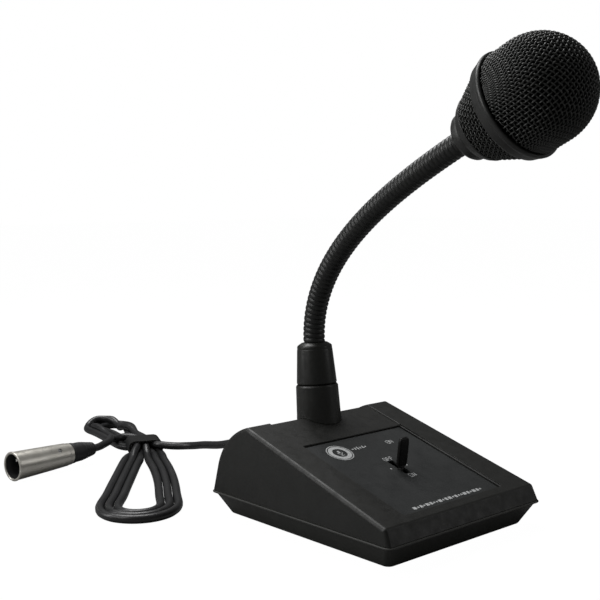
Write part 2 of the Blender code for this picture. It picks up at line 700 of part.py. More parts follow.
def loop_outline(loop):
    """Half-open outline of one loop of the hank: from beside the tie, round its far end and back."""
    heading, length, width, shift = loop
    ahead = Vector((math.cos(heading), math.sin(heading), 0))
    right = Vector((ahead.y, -ahead.x, 0))
    first = math.radians(27)
    points = []
    count = 18
    for i in range(count + 1):
        angle = first + (2 * math.pi - 2 * first) * i / count
        side = 1 if angle < math.pi else -1
        swell = 1.3 * abs(math.sin(angle)) * math.sin(angle / 2)
        half = HANK_WAIST / 4 * (1 + math.cos(angle)) + width / 2 * swell
        offset = side * half + shift * math.sin(angle / 2) ** 2
        points.append(TIE_PLACE + ahead * length * (1 - math.cos(angle)) / 2 - right * offset)
    return points


def tie_frame():
    """The tie's middle on the table, with X across the waist of the hank and Y along it."""
    waist = [loop_outline(loop)[end] for loop in (NEAR_LOOP, FAR_LOOP) for end in (0, -1)]
    heading = (NEAR_LOOP[0] - math.pi + FAR_LOOP[0]) / 2
    middle = sum(waist, Vector()) / len(waist)
    return Matrix.Translation(middle) @ Matrix.Rotation(heading - math.pi / 2, 4, "Z")


def square_band(name, half, wall, low, high, reach):
    """A flat ring round the waist: its hole is wall smaller all round than half and low to high."""
    outer, inner = (half, low, high), (half - wall, low + wall, high - wall)
    rings = [
        [Vector((x, y, z)) for x, z in ((-w, low_z), (w, low_z), (w, high_z), (-w, high_z))]
        for (w, low_z, high_z), y in ((outer, -reach), (outer, reach), (inner, reach), (inner, -reach))
    ]
    part = skin(name, rings, hollow=True)
    part.matrix_world = tie_frame()
    return part


def make_hank():
    """The coiled length of cable as one body, with a groove round its waist for the tie."""
    outline = loop_outline(NEAR_LOOP) + loop_outline(FAR_LOOP)
    hank = skin("cable_hank", [[p + Vector((0, 0, z)) for p in outline] for z in (0.0001, HANK_HEIGHT)])
    top = HANK_HEIGHT + 0.0003
    tie = square_band("cable_tie", TIE_HALF, TIE_WALL, 0.0001, top, TIE_REACH)
    beyond = 0.0200
    groove = square_band(
        "cut_tie_groove", TIE_HALF + beyond, TIE_WALL + GAP + beyond, 0.0001 - beyond, top + beyond,
        TIE_REACH + GAP,
    )
    cut(hank, groove)
    put(hank, RUBBER, smooth=False)
    put(tie, RUBBER, tie.matrix_world.copy(), smooth=False)


def make_cable():
    tie = tie_frame()
    across = tie.to_3x3() @ Vector((1, 0, 0))
    lift = Vector((0, 0, CABLE_RADIUS + 0.0001))
    sides = [tie.translation + side * across * (TIE_HALF + GAP) + lift for side in (1, -1)]

    start = Vector((0, GLAND_END_Y + GAP, GLAND_Z))
    lead = [start, (0, 0.1370, 0.0273), (0, 0.1550, 0.0234), (0.0005, 0.1750, 0.0176), (0.003, 0.1960, 0.0117),
            (0.006, 0.2160, 0.0067), (0.0086, 0.2310, 0.0035), (0.0083, 0.2385, 0.0029),
            sides[0] + across * 0.0040, sides[0]]
    tube("cable_lead", smooth_route(lead, 0.0060), CABLE_RADIUS, RUBBER, 3)

    end = PLUG_FRONT - PLUG_HEADING * (SHELL_LENGTH + BOOT_LENGTH + 2 * GAP)
    tail = [sides[1], sides[1] - across * 0.0040, (-0.0310, 0.2572, 0.0042), (-0.0370, 0.2565, 0.0066),
            end - PLUG_HEADING * 0.0040, end]
    tube("cable_tail", smooth_route(tail, 0.0050), CABLE_RADIUS, RUBBER, 3)


def make_plug():
    """A three-pin cable plug that lies on the table. Its frame's Z axis points out of its mouth."""
    plug = along(PLUG_FRONT, PLUG_HEADING)
    front, rear, mouth, hold = 0.0096, 0.0073, 0.0079, 0.0072
    deep, seat = -SOCKET_DEPTH, -0.0290
    profile = [(mouth, 0), (front - 0.0004, 0), (front, -0.0004), (front - 0.0004, -0.0060),
               (rear, -SHELL_LENGTH + 0.0004), (rear - 0.0004, -SHELL_LENGTH), (0.0052, -SHELL_LENGTH),
               (0.0052, seat), (hold, seat), (hold, deep), (mouth, deep)]
    shell = turned("plug_shell", profile, NICKEL, plug, 28, hollow=True)
    turned("plug_insert", [(hold - GAP, seat + GAP), (hold - GAP, deep - GAP)], PLASTIC, plug, 24)
    for i in range(3):
        angle = math.radians(90 + 120 * i)
        place = plug @ Matrix.Translation((PIN_CIRCLE * math.cos(angle), PIN_CIRCLE * math.sin(angle), 0))
        profile = [(PIN_RADIUS, deep), (PIN_RADIUS, -PIN_RECESS - 0.0008), (0.0007, -PIN_RECESS)]
        turned(f"plug_pin_{i + 1}", profile, NICKEL, place, 12)

    boot = -SHELL_LENGTH - GAP
    end = boot - BOOT_LENGTH
    profile = [(0.0066, boot), (0.0070, boot - 0.0005), (0.0067, boot - 0.0080), (0.0052, end + 0.0040),
               (0.0044, end + 0.0005), (0.0040, end)]
    turned("plug_boot", profile, RUBBER, plug, 24)

    sideways = plug @ Matrix.Translation((0, 0, -0.0330)) @ Matrix.Rotation(math.radians(-139), 4, "Z")
    screw = sideways @ Matrix.Rotation(math.pi / 2, 4, "Y")
    cut(shell, cylinder_cutter("cut_clamp_screw", 0.0016, 0.0064, 0.012, screw, 14))
    turned("plug_clamp_screw", [(0.0013, 0.0067), (0.0013, 0.0076)], STEEL, screw, 14)


# ------------------------------------------------------------------------------ the whole
def build():
    clear_scene()
    up = Vector((0, math.sin(COLLAR_LEAN), math.cos(COLLAR_LEAN)))
    collar = along(COLLAR_TOP - up * COLLAR_HEIGHT, up)
    make_shell(collar)
    make_tray()
    make_base_fittings()
    make_control_panel()
    make_switch()
    make_collars(collar)
    carrier = make_neck()
    make_head(carrier)
    make_gland()
    make_inner_leads(collar)
    make_hank()
    make_cable()
    make_plug()


build()
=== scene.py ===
"""The looks of a desk paging microphone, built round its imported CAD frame.

The frame's units are metres. The origin is on the table, +X is to the talker's right, +Y is towards the
back of the base and +Z is up. The talker sits in front, at -Y.
"""

import math

import bmesh
import bpy
import numpy as np
from mathutils import Matrix, Vector


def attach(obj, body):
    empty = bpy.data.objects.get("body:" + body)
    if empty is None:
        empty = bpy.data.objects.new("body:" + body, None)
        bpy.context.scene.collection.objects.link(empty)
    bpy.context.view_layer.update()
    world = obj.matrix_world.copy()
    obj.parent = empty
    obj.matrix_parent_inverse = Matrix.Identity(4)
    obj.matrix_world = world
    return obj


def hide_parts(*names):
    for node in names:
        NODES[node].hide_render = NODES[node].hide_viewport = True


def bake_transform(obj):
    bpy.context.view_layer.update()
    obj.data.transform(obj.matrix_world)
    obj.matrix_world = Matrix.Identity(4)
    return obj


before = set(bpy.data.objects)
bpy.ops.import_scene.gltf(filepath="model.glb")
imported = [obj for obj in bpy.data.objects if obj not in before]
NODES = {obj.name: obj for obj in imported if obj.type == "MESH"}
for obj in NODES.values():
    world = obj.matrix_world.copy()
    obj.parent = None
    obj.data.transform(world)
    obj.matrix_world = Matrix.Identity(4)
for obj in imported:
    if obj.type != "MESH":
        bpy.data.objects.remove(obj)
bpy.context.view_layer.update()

# ------------------------------------------------------------------ dimensions, as the CAD has them
GAP = 0.0003
BASE_Y = 0.033
BASE_HALF_X, BASE_HALF_Y = 0.060, 0.0698
SEAM_Z = 0.0143
SIDE_DRAFT = math.radians(5)
FRONT_EDGE = (-0.066, 0.0228)
RIDGE = (0.0425, 0.0542)
RISE = math.atan2(RIDGE[1] - FRONT_EDGE[1], RIDGE[0] - FRONT_EDGE[0])
RIDGE_HANDLES = ((0.0545, 0.0508), (0.0640, 0.0425))
WALL_TOP = (0.0668, 0.0302)
SHELL_SIDE, SHELL_TOP = 0.0025, 0.0046
RAIL_HALF_X = 0.039
CHANNEL_DEPTH = 0.0008
CHANNEL_FOOT_Z = 0.0200
PANEL_FRONT_Y, PANEL_REAR_Y = -0.060, 0.0155
PANEL_DROP, PANEL_THICK = 0.0018, 0.0009
TRAY_Z, TRAY_FLOOR, TRAY_TAPER = 0.0012, 0.0025, 0.0068
RIM_PROUD, RIM_HEIGHT = 0.0010, 0.0011
SCREW_PLACE, SCREW_SHANK = (0.046, 0.041), 0.0015
SLOT_Y, SLOT_HALF = -0.0208, (0.0021, 0.0072)
PIVOT_AHEAD, PIVOT_DEPTH = 0.0034, 0.0110
LEVER_LEAN = math.radians(9)
PADDLE_FOOT, PADDLE_LENGTH = 0.0022, 0.0156

COLLAR_LEAN = math.radians(5)
COLLAR_UP = Vector((0, math.sin(COLLAR_LEAN), math.cos(COLLAR_LEAN)))
COLLAR_TOP = Vector((0, 0.0808, 0.0948))
COLLAR_HEIGHT, COLLAR_SPLIT = 0.0422, 0.0190
NECK_RADIUS = 0.0064
NECK_JOINTS = 9
NECK_FIRST, NECK_LAST = 0.0080, 0.0080
NECK_BURIED = 0.0110
NECK_HANDLES = (0.0530, 0.0606)
RIB_PITCH, RIB_DEPTH = 0.0030, 0.00058
HOSE_STEP = RIB_PITCH / 10

HEAD_TILT = math.radians(25.5)
HEAD_PLACE = Vector((0, -0.0651, 0.2253))
HEAD_BACK = 0.0360
FORWARD = Vector((0, -math.cos(HEAD_TILT), math.sin(HEAD_TILT)))
BALL_RADIUS, BALL_MIDDLE, DOME_FOOT = 0.0276, 0.0118, 0.0004
WEAVE_PITCH, WIRE_RADIUS = 0.00215, 0.00040
WAVE = WIRE_RADIUS * 0.92
WEAVE_TURN, CONE_TURN, CONE_TILT = math.radians(38), math.radians(-60), math.radians(28)

CABLE_RADIUS = 0.0026
GLAND_Z, GLAND_END_Y = 0.0280, 0.1280
TIE_HALF, TIE_WALL, TIE_REACH, TIE_TOP = 0.0122, 0.0009, 0.0022, 0.0115
NEAR_HEADING, FAR_HEADING = math.radians(231.3), math.radians(78.9)
TIE_MIDDLE = Vector((-0.01015, 0.2495, 0))
PLUG_FRONT = Vector((-0.1130, 0.2463, 0.0097))
PLUG_HEADING = Vector((-0.993, -0.120, 0)).normalized()
SHELL_LENGTH, BOOT_LENGTH = 0.0445, 0.0195
SOCKET_DEPTH = 0.0170


# ------------------------------------------------------------------ the camera
def make_camera():
    yaw, pitch, roll = math.radians(41.675), math.radians(5.70), math.radians(-0.374)
    ahead = Vector((math.sin(yaw) * math.cos(pitch), math.cos(yaw) * math.cos(pitch), -math.sin(pitch)))
    level = Vector((math.cos(yaw), -math.sin(yaw), 0))
    over = level.cross(ahead)
    right = level * math.cos(roll) + over * math.sin(roll)
    up = over * math.cos(roll) - level * math.sin(roll)
    data = bpy.data.cameras.new("camera")
    data.sensor_width, data.lens = 36.0, 63.0
    data.clip_start, data.clip_end = 0.01, 20.0
    camera = bpy.data.objects.new("camera", data)
    camera.matrix_world = Matrix((right, up, -ahead)).transposed().to_4x4()
    camera.matrix_world.translation = Vector((-0.4144, -0.3722, 0.1825))
    bpy.context.scene.collection.objects.link(camera)
    bpy.context.scene.camera = camera
    return right, ahead


CAMERA_RIGHT, CAMERA_AHEAD = make_camera()


# ------------------------------------------------------------------ shape helpers
def shown(name, mesh):
    piece = bpy.data.objects.new(name, mesh)
    bpy.context.scene.collection.objects.link(piece)
    return piece


def object_of(name, bm):
    bmesh.ops.recalc_face_normals(bm, faces=bm.faces)
    mesh = bpy.data.meshes.new(name)
    bm.to_mesh(mesh)
    bm.free()
    return shown(name, mesh)


def mesh_of(name, points, faces):
    mesh = bpy.data.meshes.new(name)
    mesh.from_pydata([tuple(p) for p in points], [], faces)
    mesh.validate()
    piece = shown(name, mesh)
    piece.data.shade_smooth()
    return piece


def skin(name, rings, hollow=False):
    """A body whose skin runs over a row of equal rings of points. A hollow one's last ring meets its first."""
    bm = bmesh.new()
    loops = [[bm.verts.new(point) for point in ring] for ring in rings]
    pairs = list(zip(loops, loops[1:]))
    if hollow:
        pairs.append((loops[-1], loops[0]))
    count = len(rings[0])
    for low, high in pairs:
        for i in range(count):
            j = (i + 1) % count
            bm.faces.new((low[i], low[j], high[j], high[i]))
    if not hollow:
        bm.faces.new(loops[0])
        bm.faces.new(loops[-1])
    return object_of(name, bm)


def tube_faces(base, rows, sides):
    """The sides of a tube whose points are numbered from base on, ring by ring."""
    made = []
    for row in range(rows):
        for i in range(sides):
            j = (i + 1) % sides
            a, b = base + row * sides, base + (row + 1) * sides
            made.append((a + i, a + j, b + j, b + i))
    return made


def bezier(ends, steps):
    """Points on the curve between the first and last of four, with the other two as its handles."""
    made = []
    for i in range(steps + 1):
        t = i / steps
        weights = ((1 - t) ** 3, 3 * t * (1 - t) ** 2, 3 * t * t * (1 - t), t ** 3)
        made.append(sum((w * p for w, p in zip(weights, ends)), ends[0] * 0))
    return made


def through(before, a, b, after, t):
    """The point at share t between a and b, on a smooth curve through all four."""
    return 0.5 * (2 * a + (b - before) * t + (2 * before - 5 * a + 4 * b - after) * t * t
                  + (3 * a - before - 3 * b + after) * t ** 3)


def circle(radius, z, steps):
    turn = 2 * math.pi / steps
    return [Vector((radius * math.cos(i * turn), radius * math.sin(i * turn), z)) for i in range(steps)]


def rounded_rectangle(half_x, half_y, radius, z, steps=5):
    ring = []
    for corner, (sx, sy) in enumerate(((1, 1), (-1, 1), (-1, -1), (1, -1))):
        middle = Vector((sx * (half_x - radius), sy * (half_y - radius), z))
        for i in range(steps + 1):
            angle = math.pi / 2 * (corner + i / steps)
            ring.append(middle + Vector((radius * math.cos(angle), radius * math.sin(angle), 0)))
    return ring


def filleted(points, radius, steps=4, closed=False):
    """A polyline of (a, b) points with round corners."""
    points = [Vector(p) for p in points]
    count = len(points)
    least_turn, most_share = math.radians(4), 0.45
    made = []
    for i, point in enumerate(points):
        if not closed and i in (0, count - 1):
            made.append(tuple(point))
            continue
        before, after = points[i - 1], points[(i + 1) % count]
        a, b = before - point, after - point
        turn = math.pi - a.angle(b)
        if turn < least_turn:
            made.append(tuple(point))
            continue
        reach = min(radius * math.tan(turn / 2), most_share * a.length, most_share * b.length)
        start, end = point + a.normalized() * reach, point + b.normalized() * reach
        for k in range(steps + 1):
            t = k / steps
            made.append(tuple(start * (1 - t) ** 2 + point * 2 * t * (1 - t) + end * t * t))
    return made


def along(origin, direction):
    """A frame at origin whose Z axis is direction and whose X axis stays level."""
    z = Vector(direction).normalized()
    x = Vector((1, 0, 0)) if abs(z.x) < 0.9 else z.cross(Vector((0, 0, 1))).normalized()
    y = z.cross(x).normalized()
    made = Matrix((x, y, z)).transposed().to_4x4()
    made.translation = origin
    return made


def smooth(piece, angle=30):
    piece.data.shade_smooth()
    piece.data.set_sharp_from_angle(angle=math.radians(angle))
    return piece


def turned(name, profile, matrix, steps=96, fillet=0.0004, closed=True, sharp=40):
    """A body of revolution about its frame's Z axis, from a closed profile of (radius, height) points."""
    rings = [circle(r, z, steps) for r, z in filleted(profile, fillet, 4, closed)]
    piece = skin(name, rings, hollow=closed)
    piece.data.transform(matrix)
    return smooth(piece, sharp)


def settle(piece, cutters=()):
    """Turns a piece's modifiers into plain mesh, and removes the bodies that cut it."""
    bpy.context.view_layer.update()
    graph = bpy.context.evaluated_depsgraph_get()
    mesh = bpy.data.meshes.new_from_object(piece.evaluated_get(graph))
    piece.modifiers.clear()
    piece.data = mesh
    for tool in cutters:
        bpy.data.objects.remove(tool, do_unlink=True)
    return piece


def cutter(rings, place=Matrix.Identity(4)):
    """A body to cut with, from rings in the frame place."""
    tool = skin("cutter", rings)
    tool.matrix_world = place
    return tool


def cut(piece, *tools):
    """Takes the tools' shapes away from a piece, and then removes the tools."""
    for tool in tools:
        modifier = piece.modifiers.new("boolean", "BOOLEAN")
        modifier.operation, modifier.solver, modifier.object = "DIFFERENCE", "EXACT", tool
    return settle(piece, tools)


def even_normals(piece, angle=30):
    """Smooth shading that keeps large flat faces flat."""
    smooth(piece, angle)
    modifier = piece.modifiers.new("even", "WEIGHTED_NORMAL")
    modifier.keep_sharp, modifier.weight = True, 80
    return settle(piece)


# ------------------------------------------------------------------ materials
def fill(tree, place, value):
    """Gives a node's input a value, or links another node's output to it."""
    if isinstance(value, bpy.types.NodeSocket):
        tree.links.new(value, place)
    else:
        place.default_value = value


def add_node(tree, kind, inputs=()):
    node = tree.nodes.new("ShaderNode" + kind)
    for key, value in dict(inputs).items():
        fill(tree, node.inputs[key], value)
    return node


def noise(tree, scale, detail=3.0, rough=0.55, kind="NOISE"):
    """A noise over the object's own coordinates. Scale is in cycles per metre."""
    place = {"Vector": add_node(tree, "TexCoord").outputs["Object"], "Scale": scale}
    if kind == "VORONOI":
        return add_node(tree, "TexVoronoi", place).outputs["Distance"]
    return add_node(tree, "TexNoise", {**place, "Detail": detail, "Roughness": rough}).outputs["Fac"]


def spread(tree, value, low, high, from_low=0.3, from_high=0.7):
    """Moves a value's span, which for a noise is about 0.3 to 0.7, to low and high."""
    node = add_node(tree, "MapRange", {"Value": value, "From Min": from_low, "From Max": from_high,
                                       "To Min": low, "To Max": high})
    return node.outputs["Result"]


def mixed(tree, factor, first, second):
    """A colour between two, each a colour tuple or another node's output."""
    node = add_node(tree, "Mix")
    node.data_type = "RGBA"
    fill(tree, node.inputs["Factor"], factor)
    for key, colour in (("A", first), ("B", second)):
        place = [s for s in node.inputs if s.name == key and s.type == "RGBA"][0]
        fill(tree, place, (*colour, 1.0) if isinstance(colour, tuple) else colour)
    return [s for s in node.outputs if s.type == "RGBA"][0]


def edge_share(tree, radius, low=0.02, high=0.20):
    """Near 1 on convex and concave edges tighter than about radius, and 0 on open faces."""
    bevel = add_node(tree, "Bevel", {"Radius": radius})
    bevel.samples = 4
    dot = add_node(tree, "VectorMath", {0: bevel.outputs["Normal"],
                                        1: add_node(tree, "NewGeometry").outputs["Normal"]})
    dot.operation = "DOT_PRODUCT"
    return spread(tree, dot.outputs["Value"], 1.0, 0.0, 1 - high, 1 - low)


LOOK = {}


def finish(name, colour, rough, metallic=0.0, *, light=None, mottle=120.0, rough_span=0.08, grain=2600.0,
           grain_depth=0.00003, edge_colour=None, edge_radius=0.0005, specular=0.5, kind="NOISE"):
    """One procedural material: a mottled colour, uneven roughness, a fine grain and lighter edges, which are wear
    on most materials and a painted highlight on the tie strap.
    """
    material = bpy.data.materials.new(name)
    material.use_nodes = True
    tree = material.node_tree
    light = light or tuple(1.35 * c for c in colour)
    shade = mixed(tree, spread(tree, noise(tree, mottle, 4.0), 0.0, 1.0), colour, light)
    if edge_colour is not None:
        # Lighter colour near edges: wear on most materials, and a painted edge highlight on the tie strap.
        patches = spread(tree, noise(tree, 700.0, 3.0), 0.25, 1.0)
        edge_amount = add_node(tree, "Math", {0: edge_share(tree, edge_radius), 1: patches})
        edge_amount.operation = "MULTIPLY"
        shade = mixed(tree, edge_amount.outputs["Value"], shade, edge_colour)
    uneven = spread(tree, noise(tree, mottle * 2.3, 5.0), rough - rough_span, rough + rough_span)
    bump = add_node(tree, "Bump", {"Strength": 0.6, "Distance": grain_depth,
                                   "Height": noise(tree, grain, 2.0, 0.6, kind)})
    shader = tree.nodes["Principled BSDF"]
    for key, value in (("Metallic", metallic), ("Specular IOR Level", specular), ("Base Color", shade),
                       ("Roughness", uneven), ("Normal", bump.outputs["Normal"])):
        fill(tree, shader.inputs[key], value)
    LOOK[name] = material


finish("base_plastic", (0.0098, 0.0100, 0.0087), 0.50, light=(0.0131, 0.0134, 0.0118), mottle=90, grain=3200,
       grain_depth=0.000035, edge_colour=(0.055, 0.055, 0.052), specular=0.4)
finish("tray_plastic", (0.026, 0.0265, 0.0235), 0.55, light=(0.033, 0.0335, 0.030), mottle=70, grain=3000,
       grain_depth=0.00004, edge_colour=(0.050, 0.050, 0.048))
finish("collar_plastic", (0.0115, 0.0118, 0.0102), 0.38, mottle=150, grain=3600, grain_depth=0.00002,
       edge_colour=(0.045, 0.045, 0.043))
finish("panel_plastic", (0.0205, 0.0222, 0.0224), 0.52, light=(0.0250, 0.0268, 0.0268), mottle=60, grain=4200,
       grain_depth=0.000022, edge_colour=(0.05, 0.05, 0.05), specular=0.4)
finish("paddle_plastic", (0.0035, 0.0035, 0.0033), 0.45, mottle=300, grain=3000, grain_depth=0.000012,
       edge_colour=(0.04, 0.04, 0.04), specular=0.2)
finish("inner_plastic", (0.012, 0.012, 0.012), 0.6, mottle=300)
finish("foot_rubber", (0.010, 0.010, 0.010), 0.85, mottle=400, grain=1800, grain_depth=0.00006)
finish("boot_rubber", (0.013, 0.013, 0.014), 0.50, mottle=260, grain=2600, grain_depth=0.00003,
       edge_colour=(0.035, 0.035, 0.035))
finish("cable_jacket", (0.014, 0.0143, 0.0148), 0.36, light=(0.020, 0.020, 0.021), mottle=110, grain=1500,
       grain_depth=0.00004, rough_span=0.07)
# The tie strap's bright edge colour is a painted highlight along its edges.
finish("tie_plastic", (0.007, 0.007, 0.007), 0.75, mottle=260, grain=1500, grain_depth=0.0001,
       edge_colour=(0.16, 0.16, 0.15), edge_radius=0.0003, specular=0.25)
finish("cradle_rubber", (0.010, 0.010, 0.010), 0.8, mottle=400)
finish("neck_metal", (0.018, 0.0185, 0.018), 0.38, 0.35, light=(0.028, 0.0285, 0.027), mottle=260, grain=2400,
       grain_depth=0.00003, edge_colour=(0.06, 0.06, 0.058), edge_radius=0.0004)
finish("head_metal", (0.034, 0.0345, 0.033), 0.42, 0.30, light=(0.043, 0.0435, 0.042), mottle=140, grain=3400,
       grain_depth=0.00002, edge_colour=(0.075, 0.075, 0.073), edge_radius=0.0005)
finish("grille_mesh", (0.034, 0.035, 0.033), 0.38, 0.25, light=(0.058, 0.059, 0.056), mottle=420, grain=5200,
       grain_depth=0.00003)
finish("screen_foam", (0.0035, 0.0035, 0.0035), 0.95, mottle=900, grain=1400, grain_depth=0.0004, specular=0.1,
       rough_span=0.03, kind="VORONOI")
finish("capsule_metal", (0.30, 0.30, 0.30), 0.4, 1.0, mottle=300)
finish("plug_nickel", (0.69, 0.665, 0.60), 0.33, 0.78, light=(0.77, 0.745, 0.68), mottle=160, grain=4200,
       grain_depth=0.00001, edge_colour=(0.72, 0.71, 0.68), rough_span=0.06)
finish("pin_metal", (0.80, 0.79, 0.76), 0.20, 1.0, mottle=600, grain_depth=0.000008)
finish("board_laminate", (0.02, 0.10, 0.045), 0.5, mottle=250)
finish("brass", (0.55, 0.42, 0.18), 0.35, 1.0, mottle=350)
finish("ballast_steel", (0.22, 0.22, 0.22), 0.5, 1.0, mottle=130)
finish("fastener_steel", (0.42, 0.42, 0.41), 0.32, 1.0, mottle=500, edge_colour=(0.7, 0.7, 0.7))
finish("print_ink", (0.50, 0.51, 0.51), 0.5, light=(0.62, 0.63, 0.63), mottle=900, grain=6000,
       grain_depth=0.00001)


def dress(piece, look, body=None, stands_for=()):
    """Gives a new piece its material, its body and the CAD nodes that it stands for."""
    piece.data.materials.clear()
    piece.data.materials.append(LOOK[look])
    if body:
        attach(piece, body)
    if stands_for:
        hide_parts(*stands_for)
    return piece


# ------------------------------------------------------------------ the cable, made first
TIE_AXIS = Vector((0.424, 0.906, 0)).normalized()
TIE_ACROSS = Vector((TIE_AXIS.y, -TIE_AXIS.x, 0))
STRAND = 2 * CABLE_RADIUS + 0.00006
CABLE_STEP, MESH_STEP = 0.0025, 0.0016
LAYERS = (0.0036, 0.0080)
# Counted in points of the cable: the ends that are held, the stretch that is guided and the tail that is
# free of the strap.
LEAD_HELD, TAIL_HELD, TAIL_GUIDED, TAIL_FREE = 50, 9, 9, 20
# The rounds of settling, how far the cable sinks in each, how much of its bending each takes out, and how
# far along itself the cable counts as the same stretch, which may be near itself.
ROUNDS, SINK, EASE = 320, 0.00003, 0.055
OWN_REACH = 0.013
# Where the strap runs along the tie's axis, how far out it lets the middle of the cable lie, how far out it
# catches the cable, and how far beyond its edges it still pulls.
STRAP_FROM, STRAP_TO = -0.0085, 0.0100
STRAP_INNER, STRAP_CATCH, STRAP_MOUTH = 0.0084, 0.0125, 0.0030
# Points this many steps apart stay at least this far apart, which keeps the bends from closing up.
LEAST_CHORDS = ((6, 0.0136), (10, 0.0186))


def at_tie(across, ahead, z):
    return TIE_MIDDLE + TIE_ACROSS * across + TIE_AXIS * ahead + Vector((0, 0, z))


def lobe(heading, start, end, length, width, shift, lifts, steps=16, half_bow=108):
    """One turn out from the tie and back: out on the heading's right, round a bow and back on its left.

    Start and end are how far to the right it leaves the tie and comes back, and lifts its heights on the way.
    """
    ahead = Vector((math.cos(heading), math.sin(heading), 0))
    right = Vector((ahead.y, -ahead.x, 0))
    radius = width / 2
    bulge = 0.16 if length > 0.12 else 0.06
    shares = (0.2, 0.4, 0.6, 0.8)

    def leg(foot, corner, shares):
        return [(corner[0] * t, foot + (corner[1] - foot) * (t + bulge * math.sin(math.pi * t)))
                for t in shares]

    bow = []
    for i in range(steps + 1):
        angle = math.radians(half_bow - 2 * half_bow * i / steps)
        bow.append((length - radius + radius * math.cos(angle), shift + radius * math.sin(angle)))
    flat = [*leg(start, bow[0], shares), *bow, *leg(end, bow[-1], shares[::-1])]
    made = []
    for i, (x, y) in enumerate(flat):
        share = i / (len(flat) - 1) * (len(lifts) - 1)
        k = min(int(share), len(lifts) - 2)
        z = lifts[k] + (lifts[k + 1] - lifts[k]) * (share - k)
        made.append(TIE_MIDDLE + ahead * x + right * y + Vector((0, 0, z)))
    return made


def cable_route():
    """Roughly where the cable runs: from its gland, three times round the hank and on to the plug."""
    low, top = LAYERS
    places = [(0.0053, top), (-0.0079, low), (0.0079, low), (-0.0053, top), (0.00265, low), (-0.00265, low),
              (0, top)]
    lobes = [(0.0970, 0.0205, 0.0022, (top, 0.0085, 0.0082, 0.0078, low)),
             (0.1612, 0.0412, -0.0104, (low, 0.0027, 0.0027, 0.0027, low)),
             (0.0990, 0.0215, 0.0052, (low, 0.0027, 0.0027, 0.0060, top)),
             (0.1560, 0.0360, -0.0098, (top, 0.0078, 0.0080, 0.0078, low)),
             (0.0910, 0.0190, 0.0056, (low, 0.0027, 0.0027, 0.0027, low)),
             (0.1490, 0.0298, -0.0088, (low, 0.0027, 0.0027, 0.0030, top))]
    route = [Vector(p) for p in [
        (0, GLAND_END_Y - 0.0070, GLAND_Z), (0, GLAND_END_Y + 0.0003, GLAND_Z), (0, 0.1370, 0.0273),
        (0, 0.1550, 0.0234), (0.0007, 0.1750, 0.0178), (0.0030, 0.1960, 0.0137)]]
    route += [at_tie(*p) for p in [
        (0.0305, -0.0300, 0.0106), (0.0258, -0.0232, 0.0092), (0.0200, -0.0185, 0.0084),
        (0.0142, -0.0150, 0.0084), (0.0094, -0.0112, 0.0085), (0.0064, -0.0060, 0.0083)]]
    for k, (length, width, shift, lifts) in enumerate(lobes):
        sign, heading = (1, FAR_HEADING) if k % 2 == 0 else (-1, NEAR_HEADING)
        (start, start_z), (end, _) = places[k], places[k + 1]
        route.append(at_tie(start, 0, start_z))
        route += lobe(heading, sign * start, sign * end, length, width, shift, lifts)
    route += [at_tie(*p) for p in [
        (0, 0, top), (0, 0.0080, 0.0082), (-0.0008, 0.0150, 0.0096), (-0.0045, 0.0212, 0.0118),
        (-0.0110, 0.0240, 0.0128), (-0.0176, 0.0216, 0.0124), (-0.0212, 0.0156, 0.0118),
        (-0.0226, 0.0086, 0.0111), (-0.0246, 0.0018, 0.0106), (-0.0285, -0.0040, 0.0102)]]
    boot = PLUG_FRONT - PLUG_HEADING * (SHELL_LENGTH + BOOT_LENGTH)
    return route + [boot - PLUG_HEADING * 0.0040, boot + PLUG_HEADING * 0.0090]


def evenly(points, spacing):
    """Points a spacing apart on a smooth curve through the given ones."""
    row = [np.array(p) for p in points]
    ends = [2 * row[0] - row[1], *row, 2 * row[-1] - row[-2]]
    dense = []
    for four in zip(ends, ends[1:], ends[2:], ends[3:]):
        dense += [through(*four, i / 8) for i in range(8)]
    dense = np.array([*dense, row[-1]])
    walked = np.concatenate([[0], np.cumsum(np.linalg.norm(np.diff(dense, axis=0), axis=1))])
    spots = np.linspace(0, walked[-1], round(walked[-1] / spacing) + 1)
    return np.stack([np.interp(spots, walked, dense[:, k]) for k in range(3)], axis=1)


